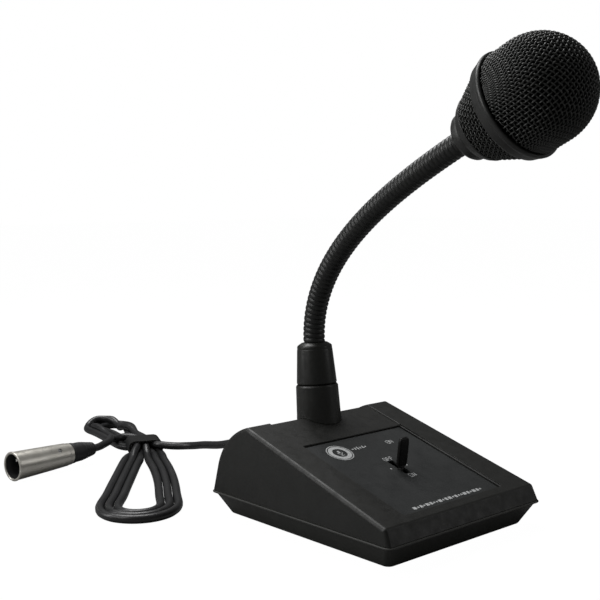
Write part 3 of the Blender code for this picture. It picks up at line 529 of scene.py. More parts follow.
def settled(line):
    """Lets the cable find its own lie: stiff against bending, never inside itself, down on the table."""
    count = len(line)
    rest = np.full(count - 1, float(np.linalg.norm(np.diff(line, axis=0), axis=1).mean()))
    index = np.arange(count)
    apart = np.triu(np.abs(index[:, None] - index[None]) * CABLE_STEP > OWN_REACH)
    fixed = np.zeros(count, bool)
    fixed[:LEAD_HELD] = fixed[-TAIL_HELD:] = True
    kept = line[fixed].copy()
    guided = slice(count - TAIL_HELD - TAIL_GUIDED, count - TAIL_HELD)
    guide, guiding = line[guided].copy(), np.linspace(0.01, 0.5, TAIL_GUIDED)[:, None]
    middle, ahead, across = (np.array(v) for v in (TIE_MIDDLE, TIE_AXIS, TIE_ACROSS))
    for _ in range(ROUNDS):
        line[:, 2] -= SINK
        for _ in range(2):
            bend = np.zeros_like(line)
            bend[2:-2] = line[:-4] - 4 * line[1:-3] + 6 * line[2:-2] - 4 * line[3:-1] + line[4:]
            line -= EASE * bend
        for reach, least in LEAST_CHORDS:
            way = line[reach:] - line[:-reach]
            size = np.linalg.norm(way, axis=1, keepdims=True)
            push = way * (0.3 * np.maximum(least - size, 0) / size)
            line[reach:] += push
            line[:-reach] -= push
        for _ in range(2):
            for first in (0, 1):
                a, b = line[first:-1:2], line[first + 1::2]
                way = b - a
                size = np.linalg.norm(way, axis=1, keepdims=True)
                pull = way * (0.5 * (size - rest[first::2, None]) / size)
                line[first:-1:2] += pull
                line[first + 1::2] -= pull
            line[fixed] = kept
        way = line[:, None] - line[None]
        size = np.sqrt((way ** 2).sum(axis=2))
        i, j = np.nonzero(apart & (size < STRAND))
        if len(i):
            push = way[i, j] * (0.5 * (STRAND - size[i, j]) / np.maximum(size[i, j], 1e-6))[:, None]
            moved, met = np.zeros_like(line), np.zeros(count)
            for k, sign in ((i, 1), (j, -1)):
                np.add.at(moved, k, sign * push)
                np.add.at(met, k, 1)
            line += moved / np.maximum(1, met * 0.6)[:, None]
        offset = line - middle
        along_axis, sideways = offset @ ahead, offset @ across
        inside = np.minimum(along_axis - STRAP_FROM, STRAP_TO - along_axis)
        held = (inside > -STRAP_MOUTH) & (np.abs(sideways) < STRAP_CATCH)
        held[:LEAD_HELD] = held[-TAIL_FREE:] = False
        grip = np.clip(0.3 + inside[held] / 0.006, 0.03, 1)
        sideways = sideways[held]
        line[held] += np.outer((np.clip(sideways, -STRAP_INNER, STRAP_INNER) - sideways) * grip, across)
        line[held, 2] += (np.clip(line[held, 2], LAYERS[0], LAYERS[1] + 0.0001) - line[held, 2]) * grip
        line[guided] += (guide - line[guided]) * guiding
        line[:, 2] = np.maximum(line[:, 2], CABLE_RADIUS + 0.00005)
        line[fixed] = kept
    return line


def make_cable():
    line = evenly(settled(evenly(cable_route(), CABLE_STEP)), MESH_STEP)
    curve = bpy.data.curves.new("cable", "CURVE")
    curve.dimensions = "3D"
    curve.bevel_depth = CABLE_RADIUS
    curve.bevel_resolution = 5
    curve.use_fill_caps = True
    spline = curve.splines.new("POLY")
    spline.points.add(len(line) - 1)
    for spot, point in zip(spline.points, line):
        spot.co = (*point, 1.0)
    spline.use_smooth = True
    cable = dress(shown("cable", curve), "cable_jacket", "base", ("cable_lead", "cable_hank", "cable_tail"))
    return cable, float(np.linalg.norm(np.diff(line, axis=0), axis=1).sum())


def make_tie():
    """A flat strap round the waist of the hank."""
    half, wall = TIE_HALF - 0.0002, TIE_WALL
    corners = [(half, 0.0001), (half, TIE_TOP), (-half, TIE_TOP), (-half, 0.0001)]
    outline = filleted(corners, 0.0050, 8, closed=True)
    rings = []
    for x, z in outline:
        inner_x = x * (half - wall) / half
        inner_z = TIE_TOP / 2 + (z - TIE_TOP / 2) * (1 - 2 * wall / TIE_TOP)
        rings.append([at_tie(x, STRAP_FROM, z), at_tie(x, STRAP_TO, z), at_tie(inner_x, STRAP_TO, inner_z),
                      at_tie(inner_x, STRAP_FROM, inner_z)])
    strap = smooth(skin("cable_tie_strap", rings, hollow=True), 50)
    return dress(strap, "tie_plastic", "base", ("cable_tie",))


def make_tie_end(steps=14, length=0.0105, thick=0.0008, rounded=0.85):
    """The strap's loose end, which lies out over the cable and curls up a little."""
    rings = []
    for i in range(steps + 1):
        t = i / steps
        across = TIE_HALF - 0.0006 + length * t
        z = 0.0066 - 0.0022 * t + 0.0010 * math.sin(3 * t)
        reach = TIE_REACH * (1 if t < rounded else math.sqrt(max(0.05, 1 - ((t - rounded) / 0.15) ** 2)))
        rings.append([at_tie(across, y - 0.0030 * t, z + lift)
                      for y, lift in ((-reach, 0), (reach, 0), (reach, thick), (-reach, thick))])
    return dress(smooth(skin("cable_tie_end", rings), 50), "tie_plastic", "base")


CABLE, CABLE_LENGTH = make_cable()
TIE, TIE_END = make_tie(), make_tie_end()


# ------------------------------------------------------------------ the plug
def make_plug():
    plug = along(PLUG_FRONT, PLUG_HEADING)
    front, rear, mouth, hold = 0.0096, 0.0073, 0.0081, 0.0072
    deep, seat = -SOCKET_DEPTH, -0.0290
    profile = [(mouth, -0.0002), (mouth + 0.0003, 0), (front - 0.0003, 0), (front, -0.0004), (front, -0.0011),
               (front - 0.00035, -0.0015), (front - 0.00045, -0.0060), (0.0082, -0.0300),
               (rear + 0.0004, -0.0408), (rear + 0.0001, -0.0413), (rear, -SHELL_LENGTH + 0.0005),
               (rear - 0.0005, -SHELL_LENGTH), (0.0052, -SHELL_LENGTH), (0.0052, seat), (hold, seat),
               (hold, deep), (mouth, deep)]
    shell = turned("plug_barrel", profile, plug, 128, 0.0002, sharp=50)
    sideways = plug @ Matrix.Translation((0, 0, -0.0330)) @ Matrix.Rotation(math.radians(-139), 4, "Z")
    screw = sideways @ Matrix.Rotation(math.pi / 2, 4, "Y")
    cut(shell, cutter([circle(0.0016, z, 32) for z in (0.0064, 0.012)], screw))
    even_normals(shell, 35)
    dress(shell, "plug_nickel", "base", ("plug_shell",))

    boot = -SHELL_LENGTH - GAP
    end = boot - BOOT_LENGTH
    profile = [(0.0031, boot), (0.0066, boot), (0.0070, boot - 0.0005), (0.0069, boot - 0.0022),
               (0.0066, boot - 0.0026), (0.0064, boot - 0.0085)]
    for i in range(4):
        z = boot - 0.0095 - 0.0022 * i
        radius = 0.0061 - 0.00042 * i
        profile += [(radius + 0.0001, z), (radius - 0.0004, z - 0.0003), (radius - 0.0004, z - 0.0008),
                    (radius, z - 0.0011)]
    profile += [(0.0044, end + 0.0006), (0.0040, end), (0.0031, end)]
    sleeve = turned("plug_sleeve", profile, plug, 72, 0.0003, sharp=50)
    dress(sleeve, "boot_rubber", "base", ("plug_boot",))

    profile = filleted([(0.0002, 0.0068), (0.00135, 0.0068), (0.00135, 0.0077), (0.0002, 0.0078)], 0.0002, 3)
    cap = skin("plug_screw", [circle(r, z, 32) for r, z in profile])
    cut(cap, cutter([rounded_rectangle(0.0002, 0.002, 0.00005, z, 1) for z in (0.0074, 0.009)]))
    cap.data.transform(screw)
    smooth(cap, 30)
    dress(cap, "fastener_steel", "base", ("plug_clamp_screw",))

    pins = []
    for i in range(3):
        angle = math.radians(90 + 120 * i)
        place = plug @ Matrix.Translation((0.0043 * math.cos(angle), 0.0043 * math.sin(angle), 0))
        profile = [(0.0001, -SOCKET_DEPTH), (0.0012, -SOCKET_DEPTH), (0.0012, -0.0066), (0.0010, -0.0057),
                   (0.0006, -0.0053), (0.0001, -0.0052)]
        pin = turned(f"plug_contact_{i + 1}", profile, place, 32, 0.0002, closed=False)
        dress(pin, "pin_metal", "base", (f"plug_pin_{i + 1}",))
        pins.append(pin)
    # A dark plastic sleeve over the barrel's metal bore: painted shade, which darkens the inside of the mouth
    # where there is only shadow.
    liner = turned("plug_painted_shade_liner", [(0.0080, -0.0008), (0.0080, deep + 0.0004), (0.0070, deep + 0.0004),
                                  (0.0070, -0.0040), (0.0077, -0.0008)], plug, 96, 0.0001)
    dress(liner, "inner_plastic", "base")
    return [shell, sleeve, cap, liner, *pins]


PLUG = make_plug()


def make_strain_relief():
    """The cable's ribbed sleeve, with a waist that the rear wall holds."""
    rearwards = along(Vector((0, 0, GLAND_Z)), (0, 1, 0))
    profile = [(0.0029, 0.0908), (0.0050, 0.0908), (0.0053, 0.0911), (0.0053, 0.0928), (0.0040, 0.0928),
               (0.0040, 0.1014), (0.0062, 0.1014), (0.0062, 0.1028), (0.0053, 0.1032)]
    for i in range(7):
        y = 0.1048 + 0.0029 * i
        radius = 0.0052 - 0.00019 * i
        profile += [(radius, y), (radius - 0.0006, y + 0.0003), (radius - 0.0006, y + 0.0010),
                    (radius - 0.0001, y + 0.0013)]
    profile += [(0.0037, GLAND_END_Y - 0.0006), (0.0034, GLAND_END_Y), (0.0029, GLAND_END_Y)]
    sleeve = turned("cable_sleeve", profile, rearwards, 72, 0.00025, sharp=50)
    return dress(sleeve, "boot_rubber", "base", ("strain_relief",))


RELIEF = make_strain_relief()


# ------------------------------------------------------------------ the base
def offset_outline(points, distance):
    """A closed outline of (y, z) points, moved out by the distance, or in where it is negative."""
    moved = []
    count = len(points)
    for i in range(count):
        a, b, c = (Vector(points[(i + k) % count]) for k in (-1, 0, 1))
        first, second = (b - a).normalized(), (c - b).normalized()
        normals = [Vector((-d.y, d.x)) for d in (first, second)]
        bisector = (normals[0] + normals[1]).normalized()
        moved.append(tuple(b + bisector * (distance / bisector.dot(normals[0]))))
    return moved


def base_outline():
    """The wedge as seen from the side: front edge, sloping top and rounded back."""
    back = bezier([Vector(p) for p in (RIDGE, *RIDGE_HANDLES, WALL_TOP)], 22)
    outline = [(-BASE_HALF_Y, SEAM_Z + GAP), FRONT_EDGE, *back, (BASE_HALF_Y, SEAM_Z + GAP)]
    return [(y + BASE_Y, z) for y, z in outline]


def side_x(z, inset):
    return BASE_HALF_X - inset - (z - SEAM_Z) * math.tan(SIDE_DRAFT)


def both_sides(half):
    """Rings from one side to the other, from those of the right half, the outermost first."""
    rings = [[Vector((-x, y, z)) for x, y, z in ring] for ring in half]
    return rings + [[Vector(point) for point in ring] for ring in reversed(half)]


def rounded_sides(outline, radius, steps=8):
    """Rings from one side to the other over the outline, with round edges where they meet the sides."""
    half = []
    for i in range(steps + 1):
        angle = math.pi / 2 * i / steps
        moved = offset_outline(outline, -radius * (1 - math.sin(angle)))
        moved[0], moved[-1] = (moved[0][0], outline[0][1]), (moved[-1][0], outline[-1][1])
        half.append([(side_x(z, radius * (1 - math.cos(angle))), y, z) for y, z in moved])
    return both_sides(half)


def slope_frame(y, depth):
    """A frame on the sloping top, at y and this far below it, whose Z axis stands square to the slope."""
    place = Vector((0, BASE_Y + y, FRONT_EDGE[1] + (y - FRONT_EDGE[0]) * math.tan(RISE)))
    made = Matrix.Rotation(RISE, 4, "X")
    made.translation = place - made.to_3x3() @ Vector((0, 0, depth))
    return made


def panel_pocket(name, rings):
    """A body over the control panel's area, from (inset, depth below the top) pairs."""
    shapes = []
    for inset, depth in rings:
        half_y = (PANEL_REAR_Y - PANEL_FRONT_Y) / 2 / math.cos(RISE) - inset
        shapes.append(rounded_rectangle(RAIL_HALF_X - inset, half_y, 0.0010 - min(inset, 0), -depth, 6))
    piece = skin(name, shapes)
    piece.matrix_world = slope_frame((PANEL_FRONT_Y + PANEL_REAR_Y) / 2, 0)
    return piece


def channel_cutter():
    """The lowered middle of the back, with a small chamfer along each rail."""
    start, beyond, above = BASE_Y + PANEL_REAR_Y, BASE_Y + BASE_HALF_Y + 0.01, 0.075
    floors = []
    for depth in (-0.0003, 0.0, 0.00035, CHANNEL_DEPTH):
        lowered = offset_outline(base_outline(), -depth)
        a, b = (Vector(p) for p in lowered[-2:])
        foot = a.lerp(b, (a.y - CHANNEL_FOOT_Z) / (a.y - b.y))
        floors.append([(start, slope_frame(PANEL_REAR_Y, depth).translation.z), *lowered[2:-1], tuple(foot),
                       (beyond, foot.y - 0.003), (beyond, above), (start, above)])
    half = RAIL_HALF_X
    rows = [(half + 0.0007, 0), (half + 0.0004, 1), (half + 0.00005, 2), (half, 3)]
    return cutter(both_sides([[(x, y, z) for y, z in floors[k]] for x, k in rows]))


def make_shell():
    outline = base_outline()
    shell = skin("base_shell", rounded_sides(filleted(outline, 0.0022, 5), 0.0020))
    inner = offset_outline(outline, -SHELL_TOP)
    inner[0] = (inner[0][0], SEAM_Z - 0.002)
    inner[-1] = (inner[-1][0], SEAM_Z - 0.002)
    cavity = [[Vector((s * side_x(z, SHELL_SIDE), y, z)) for y, z in inner] for s in (-1, 1)]
    opening = [rounded_rectangle(0.0046, 0.0098, 0.001, z, 3) for z in (-0.012, 0.004)]
    collar = along(COLLAR_TOP - COLLAR_UP * COLLAR_HEIGHT, COLLAR_UP)
    rearwards = along(Vector((0, BASE_Y, GLAND_Z)), (0, 1, 0))
    cut(shell, cutter(cavity), channel_cutter(),
        panel_pocket("cutter", [(-0.0006, -0.0004), (-0.00035, CHANNEL_DEPTH - 0.00005),
                                (0.0, CHANNEL_DEPTH + 0.0003), (0.0, PANEL_DROP + PANEL_THICK + GAP)]),
        cutter(opening, slope_frame(SLOT_Y, PANEL_DROP)),
        cutter([circle(0.0054, z, 48) for z in (-0.0200, 0.0100)], collar),
        cutter([circle(0.0044, z, 48) for z in (0.040, 0.080)], rearwards))
    even_normals(shell, 28)
    dress(shell, "base_plastic", "base", ("top_shell",))


def make_tray():
    low, seam = TRAY_Z, SEAM_Z - RIM_HEIGHT
    side = [(TRAY_TAPER + 0.0012, low), (TRAY_TAPER + 0.0004, low + 0.0002), (TRAY_TAPER, low + 0.0007),
            (0.0006, seam - 0.0001), (0.0003, seam + 0.0001), (-RIM_PROUD + 0.0002, seam + 0.0001),
            (-RIM_PROUD, seam + 0.0003), (-RIM_PROUD, SEAM_Z - 0.0003), (-RIM_PROUD + 0.0003, SEAM_Z),
            (0.0030, SEAM_Z), (0.0034, seam), (TRAY_TAPER + 0.0026, low + TRAY_FLOOR)]
    rings = []
    for inset, z in side:
        corner = 0.0040 - 0.3 * inset if inset < 0.003 else 0.0035
        rings.append(rounded_rectangle(BASE_HALF_X - inset, BASE_HALF_Y - inset, corner, z, 12))
    tray = skin("base_tray", rings)
    tools = []
    for sx, sy in ((-1, -1), (-1, 1), (1, -1), (1, 1)):
        place = Matrix.Translation((sx * SCREW_PLACE[0], sy * SCREW_PLACE[1], 0))
        for radius, high in ((SCREW_SHANK + GAP, 0.01), (0.0033, TRAY_Z + 0.0014)):
            tools.append(cutter([circle(radius, z, 32) for z in (-0.001, high)], place))
    cut(tray, *tools)
    tray.data.transform(Matrix.Translation((0, BASE_Y, 0)))
    even_normals(tray, 28)
    dress(tray, "tray_plastic", "base", ("bottom_tray",))


def make_panel():
    panel = panel_pocket("panel_plate", [(GAP, PANEL_DROP + PANEL_THICK), (GAP, PANEL_DROP + 0.00025),
                                         (GAP + 0.0001, PANEL_DROP + 0.00007), (GAP + 0.00028, PANEL_DROP)])
    place = panel.matrix_world.copy()
    slot = [rounded_rectangle(*SLOT_HALF, 0.0008, z, 4) for z in (-0.003, 0.003)]
    cut(panel, cutter(slot, slope_frame(SLOT_Y, PANEL_DROP)))
    panel.data.transform(place)
    panel.matrix_world = Matrix.Identity(4)
    even_normals(panel, 28)
    dress(panel, "panel_plastic", "base", ("control_panel",))


def make_paddle():
    """The switch's paddle, with a narrow tongue at its foot that stays clear of the slot as it rocks."""
    pin = slope_frame(SLOT_Y, PANEL_DROP) @ Matrix.Translation((0, -PIVOT_AHEAD, -PIVOT_DEPTH))
    lever = pin @ Matrix.Rotation(-LEVER_LEAN, 4, "X")
    top = PADDLE_LENGTH
    shape = [(-0.0016, 0.00175, 0.0014), (-0.0005, 0.0018, 0.0014), (-0.0004, 0.0028, 0.0012),
             (-0.0001, 0.0032, 0.0013), (0.0005, 0.0034, 0.0014), (0.0045, 0.0035, 0.0014),
             (0.0080, 0.0035, 0.0014), (top - 0.0030, 0.00345, 0.00137), (top - 0.0018, 0.0033, 0.00128),
             (top - 0.0010, 0.0031, 0.00112), (top - 0.0004, 0.0027, 0.0009), (top - 0.0001, 0.0022, 0.0006),
             (top, 0.0015, 0.0003)]
    paddle = skin("paddle_cap", [rounded_rectangle(hx, hy, hy * 0.75, z, 8) for z, hx, hy in shape])
    cut(paddle, cutter([rounded_rectangle(0.0015, 0.0012, 0.0003, z, 2) for z in (-0.004, 0.0064)]))
    paddle.data.transform(lever @ Matrix.Translation((0, 0, PIVOT_DEPTH + PADDLE_FOOT)))
    even_normals(paddle, 45)
    dress(paddle, "paddle_plastic", "lever", ("switch_paddle",))


make_shell()
make_tray()
make_panel()
make_paddle()


# ------------------------------------------------------------------ what is printed on the panel
def printed(name, strokes):
    """Thin raised ink on the panel. Each stroke is a closed outline of (x, y) points, in metres."""
    bm = bmesh.new()
    made = slope_frame(0, PANEL_DROP)
    for outline in strokes:
        loops = []
        for lift in (0.000005, 0.000045):
            loops.append([bm.verts.new(made @ Vector((x, y / math.cos(RISE), lift))) for x, y in outline])
        count = len(outline)
        for i in range(count):
            j = (i + 1) % count
            bm.faces.new((loops[0][i], loops[0][j], loops[1][j], loops[1][i]))
        bm.faces.new(loops[1])
        bm.faces.new(list(reversed(loops[0])))
    dress(object_of(name, bm), "print_ink", "base")


def bar(x0, y0, x1, y1, width):
    """A straight stroke between two points."""
    a, b = Vector((x0, y0)), Vector((x1, y1))
    side = Vector((a.y - b.y, b.x - a.x)).normalized() * (width / 2)
    return [tuple(p) for p in (a - side, b - side, b + side, a + side)]


def arc(x, y, outer, inner, start=0.0, stop=360.0, steps=48):
    """Short strokes that make up a ring or part of one."""
    strokes = []
    for i in range(steps):
        a, b = (math.radians(start + (stop - start) * (i + k) / steps) for k in (0, 1))
        strokes.append([(x + r * math.cos(t), y + r * math.sin(t)) for r, t in
                        ((inner, a), (outer, a), (outer, b), (inner, b))])
    return strokes


def letters(word, x, y, height, width=0.00030):
    """Plain capital letters out of straight strokes, starting at x."""
    shapes = {
        "O": [(0.1, 0, 0.6, 0), (0.6, 0.05, 0.6, 0.95), (0.6, 1, 0.1, 1), (0.05, 0.95, 0.05, 0.05)],
        "N": [(0.05, 0, 0.05, 1), (0.05, 1, 0.6, 0), (0.6, 0, 0.6, 1)],
        "F": [(0.05, 0, 0.05, 1), (0.05, 1, 0.6, 1), (0.05, 0.52, 0.5, 0.52)],
    }
    strokes = []
    for letter in word:
        for x0, y0, x1, y1 in shapes[letter]:
            strokes.append(bar(x + x0 * height, y + y0 * height, x + x1 * height, y + y1 * height, width))
        x += 0.85 * height
    return strokes


def make_print():
    """A plain microphone sign, a row of level bars, generic words and a scale of dashes."""
    cx, cy = -0.0215, 0.0034
    emblem = arc(cx, cy, 0.0078, 0.0073) + arc(cx, cy, 0.0067, 0.0043)
    emblem += [bar(cx, cy - 0.0001, cx, cy + 0.0022, 0.0014)]
    emblem += arc(cx, cy + 0.0002, 0.0017, 0.0013, 180, 360, 16)
    emblem += [bar(cx, cy - 0.0015, cx, cy - 0.0026, 0.0004),
               bar(cx - 0.0011, cy - 0.0027, cx + 0.0011, cy - 0.0027, 0.0004)]
    printed("print_emblem", emblem)
    levels = []
    for i, height in enumerate((0.0011, 0.0020, 0.0028, 0.0017, 0.0024, 0.0012)):
        x = -0.0112 + 0.0020 * i
        levels.append(bar(x, cy + 0.0006 - height / 2, x, cy + 0.0006 + height / 2, 0.0009))
    printed("print_levels", levels)
    labels = letters("ON", 0.0152, 0.0016, 0.0031, 0.0004)
    labels += letters("OFF", -0.0026, -0.0132, 0.0029, 0.0004)
    labels += letters("ON", -0.0016, -0.0316, 0.0031, 0.0004)
    for x in (-0.0062, 0.0062):
        labels += arc(x, SLOT_Y, 0.0006, 0.00002, steps=16)
    printed("print_labels", labels)
    dashes, x, y = [], -0.0270, -0.0558
    for length in (3, 1, 2, 1, 3, 2, 1, 1, 3, 1, 2, 3, 1, 2, 1, 1, 3, 2, 1, 3, 2, 1):
        size = 0.0006 * length + 0.0005
        dashes.append(bar(x, y, x + size, y, 0.0021 if length > 1 else 0.0012))
        x += size + 0.0009
    printed("print_scale", dashes)


make_print()


# ------------------------------------------------------------------ the collars and the neck
def make_collars():
    """The lower collar, cut to sit on the sloping top, and the upper one, whose mouth holds the neck."""
    collar = along(COLLAR_TOP - COLLAR_UP * COLLAR_HEIGHT, COLLAR_UP)
    split = COLLAR_SPLIT
    profile = [(0.0054, -0.0090), (0.0133, -0.0090), (0.0131, 0.0000), (0.0130, 0.0010), (0.01282, 0.0070),
               (0.01245, split - 0.0011), (0.0119, split - GAP / 2), (0.0054, split - GAP / 2)]
    lower = turned("collar_lower", profile, collar, 128, 0.0003)
    body = offset_outline(base_outline(), GAP - CHANNEL_DEPTH)
    cut(lower, cutter([[Vector((x, y, z)) for y, z in body] for x in (-0.03, 0.03)]))
    even_normals(lower, 30)
    dress(lower, "collar_plastic", "base", ("lower_collar",))
    low, top = split + GAP / 2, COLLAR_HEIGHT
    seat = top - NECK_BURIED - GAP
    bore = NECK_RADIUS + GAP
    profile = [(0.0054, low), (0.0113, low), (0.01185, low + 0.0008), (0.01045, top - 0.0026),
               (0.01025, top - 0.0024), (0.01035, top - 0.0021), (0.01030, top - 0.0008), (0.0098, top - 0.0001),
               (0.0078, top + 0.0012), (0.0072, top + 0.0014), (bore, top + 0.0012), (bore, seat), (0.0054, seat)]
    upper = turned("collar_upper", profile, collar, 128, 0.0002)
    dress(upper, "collar_plastic", "base", ("upper_collar",))


def neck_curve(steps=1200):
    """The neck's middle line, as pairs of the distance along it and the point there."""
    end = HEAD_PLACE - FORWARD * HEAD_BACK
    handles = COLLAR_TOP + COLLAR_UP * NECK_HANDLES[0], end - FORWARD * NECK_HANDLES[1]
    points = bezier([COLLAR_TOP, *handles, end], steps)
    walked, row = 0.0, []
    for before, point in zip([COLLAR_TOP, *points], points):
        walked += (point - before).length
        row.append((walked, point))
    return row


NECK_ROW = neck_curve()
NECK_SPOTS = [distance for distance, _ in NECK_ROW]
NECK_LENGTH = NECK_SPOTS[-1]


def neck_point(distance):
    """The point at a distance along the neck, which runs on straight beyond both of its ends."""
    if distance <= 0:
        return COLLAR_TOP + COLLAR_UP * distance
    if distance >= NECK_LENGTH:
        return NECK_ROW[-1][1] + FORWARD * (distance - NECK_LENGTH)
    i = min(max(1, int(np.searchsorted(NECK_SPOTS, distance))), len(NECK_SPOTS) - 1)
    (a, p), (b, q) = NECK_ROW[i - 1], NECK_ROW[i]
    return p.lerp(q, (distance - a) / (b - a))


def rib_radius(phase):
    """The hose is wound from one round wire: its outline goes up and down once per turn."""
    round_radius, half_width, valley, height = 1.62, 1.5, 0.612, 1.008
    x = 2 * (phase % 1.0) - 1
    wire = (math.sqrt(round_radius ** 2 - (half_width * x) ** 2) - valley) / height
    return NECK_RADIUS - RIB_DEPTH * (1 - wire)


def hose_piece(name, start, stop, sides=56):
    """A stretch of the wound hose between two distances along the neck, both on the same fine grid."""
    first, last = round(start / HOSE_STEP), round(stop / HOSE_STEP)
    level = Vector((1, 0, 0))
    points = []
    for row in range(first, last + 1):
        distance = row * HOSE_STEP
        middle = neck_point(distance)
        tangent = (neck_point(distance + 0.0005) - neck_point(distance - 0.0005)).normalized()
        inward = level.cross(tangent)
        for i in range(sides):
            turn = 2 * math.pi * i / sides
            radius = rib_radius(distance / RIB_PITCH - i / sides)
            points.append(middle + level * (radius * math.cos(turn)) + inward * (radius * math.sin(turn)))
    return mesh_of(name, points, tube_faces(0, last - first, sides))


# hose_3 and hose_9 take the ends of their far body first. The same turn counted the other way
# round is ill-conditioned at the all_max pose, where the piece would shoot off along the joint's axis.
COUNTED_BACKWARDS = (2, 8)


def make_hose():
    pitch = (NECK_LENGTH - NECK_FIRST - NECK_LAST) / (NECK_JOINTS - 1)
    joints = [NECK_FIRST + pitch * i for i in range(NECK_JOINTS)]
    between = [(a + b) / 2 for a, b in zip(joints, joints[1:])]
    cuts = [round(c / HOSE_STEP) * HOSE_STEP
            for c in (0.0005 - NECK_BURIED, *between, NECK_LENGTH + NECK_BURIED - 0.0024)]
    # These distances start above the collar's mouth and stop below the head's socket.
    bends = [0.0015, *cuts[1:-1], NECK_LENGTH - 0.0010]
    bodies = ["base", *(f"neck_{i}" for i in range(1, NECK_JOINTS)), "head"]
    nodes = ["gooseneck_root", *(f"gooseneck_link_{i}" for i in range(1, NECK_JOINTS)), "gooseneck_tip"]
    for i in range(NECK_JOINTS):
        piece = dress(hose_piece(f"hose_{i + 1}", cuts[i], cuts[i + 1]), "neck_metal")
        ends = [(bodies[k], neck_point(bends[k])) for k in (i, i + 1)]
        if i in COUNTED_BACKWARDS:
            ends.reverse()
        (near_body, near_point), (far_body, far_point) = ends
        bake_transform(piece)
        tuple(near_point)
        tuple(far_point)
        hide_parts(*(nodes[i:i + 1] if i < NECK_JOINTS - 1 else nodes[i:]))


make_collars()
make_hose()


# ------------------------------------------------------------------ the head
HEAD = along(HEAD_PLACE, FORWARD)


def make_rings():
    """The socket behind the head, the lower ring and the middle ring, as name: (node, fillet, profile)."""
    back, bore = -HEAD_BACK, NECK_RADIUS + GAP
    plug = back + NECK_BURIED
    rings = {
        "head_socket": ("neck_socket", 0.0006, [
            (bore, back - 0.0005), (0.0096, back - 0.0005), (0.0116, back + 0.0003), (0.0127, back + 0.0018),
            (0.0130, back + 0.0042), (0.0130, -0.0303), (0.0090, -0.0303), (0.0090, plug + 0.0030),
            (0.0020, plug + 0.0030), (0.0020, plug), (bore, plug)]),
        "head_lower_ring": ("lower_ring", 0.0005, [
            (0.0093, -0.0300), (0.0137, -0.0300), (0.0146, -0.0294), (0.0165, -0.0271), (0.0179, -0.0247),
            (0.0181, -0.0238), (0.0155, -0.0238), (0.0120, -0.0268), (0.0093, -0.0268)]),
        "head_band": ("middle_ring", 0.0003, [
            (0.0256, -0.0077), (0.0263, -0.0077), (0.0268, -0.0071), (0.0279, -0.0034), (0.02800, -0.0029),
            (0.0284, -0.0023), (0.0287, -0.0013), (0.0286, -0.0005), (0.0282, 0.0), (0.0272, 0.0),
            (0.0268, -0.0004), (0.0256, -0.0020), (0.0246, -0.0077)]),
    }
    for name, (node, fillet, profile) in rings.items():
        piece = turned(name, profile, HEAD, 144, fillet, sharp=50)
        dress(piece, "head_metal", "head", (node,))


def dome_spot(point, radius):
    """The nearest point on the dome or its skirt, in the head's frame, and the way out there."""
    x, y, z = point
    if z > BALL_MIDDLE:
        out = Vector((x, y, z - BALL_MIDDLE)).normalized()
        return Vector((0, 0, BALL_MIDDLE)) + out * radius, out
    out = Vector((x, y, 0)).normalized()
    return out * radius + Vector((0, 0, z)), out


def dome_net(radius, pitch, turn, lowest):
    """A square net pulled over the dome. Its cells lean over but every side keeps its length, as cloth does."""
    net = {}
    reach, rounds, least_cell = 40, 14, 0.35 * pitch

    def on_axis(distance, angle):
        arc_length = radius * math.pi / 2
        if distance < arc_length:
            theta = distance / radius
            r, z = radius * math.sin(theta), BALL_MIDDLE + radius * math.cos(theta)
        else:
            r, z = radius, BALL_MIDDLE - (distance - arc_length)
        return Vector((r * math.cos(angle), r * math.sin(angle), z))

    for k in range(4):
        for n in range(reach):
            spot = on_axis(n * pitch, turn + k * math.pi / 2)
            i, j = ((n, 0), (0, n), (-n, 0), (0, -n))[k]
            if spot.z > lowest - 2 * pitch:
                net[i, j] = spot
    for si, sj in ((1, 1), (-1, 1), (-1, -1), (1, -1)):
        for n in range(1, reach):
            for m in range(1, reach):
                i, j = si * n, sj * m
                corner, a, b = (net.get(key) for key in ((i - si, j - sj), (i - si, j), (i, j - sj)))
                if corner is None or a is None or b is None:
                    continue
                spot = dome_spot(a + b - corner, radius)[0]
                for _ in range(rounds):
                    for other in (a, b):
                        way = spot - other
                        spot = spot + way * (0.5 * (pitch - way.length) / way.length)
                    spot = dome_spot(spot, radius)[0]
                if spot.z > lowest - 2 * pitch and (spot - corner).length > least_cell:
                    net[i, j] = spot
    return net


def wire_tube(points, faces, strand, sides=6):
    """Adds one wire, as a tube along a row of (point, way out) pairs, to a mesh in the making."""
    count = len(strand)
    if count < 3:
        return
    base = len(points)
    for k, (middle, out) in enumerate(strand):
        tangent = (strand[min(k + 1, count - 1)][0] - strand[max(k - 1, 0)][0]).normalized()
        side = tangent.cross(out).normalized()
        up = side.cross(tangent)
        for i in range(sides):
            turn = 2 * math.pi * (i + 0.5) / sides
            points.append(middle + side * (WIRE_RADIUS * math.cos(turn)) + up * (WIRE_RADIUS * math.sin(turn)))
    faces += tube_faces(base, count - 1, sides)
    faces.append(tuple(base + i for i in reversed(range(sides))))
    faces.append(tuple(base + (count - 1) * sides + i for i in range(sides)))


def weave(name, node, strands):
    """A grille of round wires, from rows of (point, way out, whether the point is on the grille)."""
    points, faces = [], []
    for strand in strands:
        run = []
        for spot, out, inside in strand:
            if inside:
                run.append((spot, out))
            else:
                wire_tube(points, faces, run)
                run = []
        wire_tube(points, faces, run)
    piece = mesh_of(name, points, faces)
    piece.data.transform(HEAD)
    dress(piece, "grille_mesh", "head", (node,))


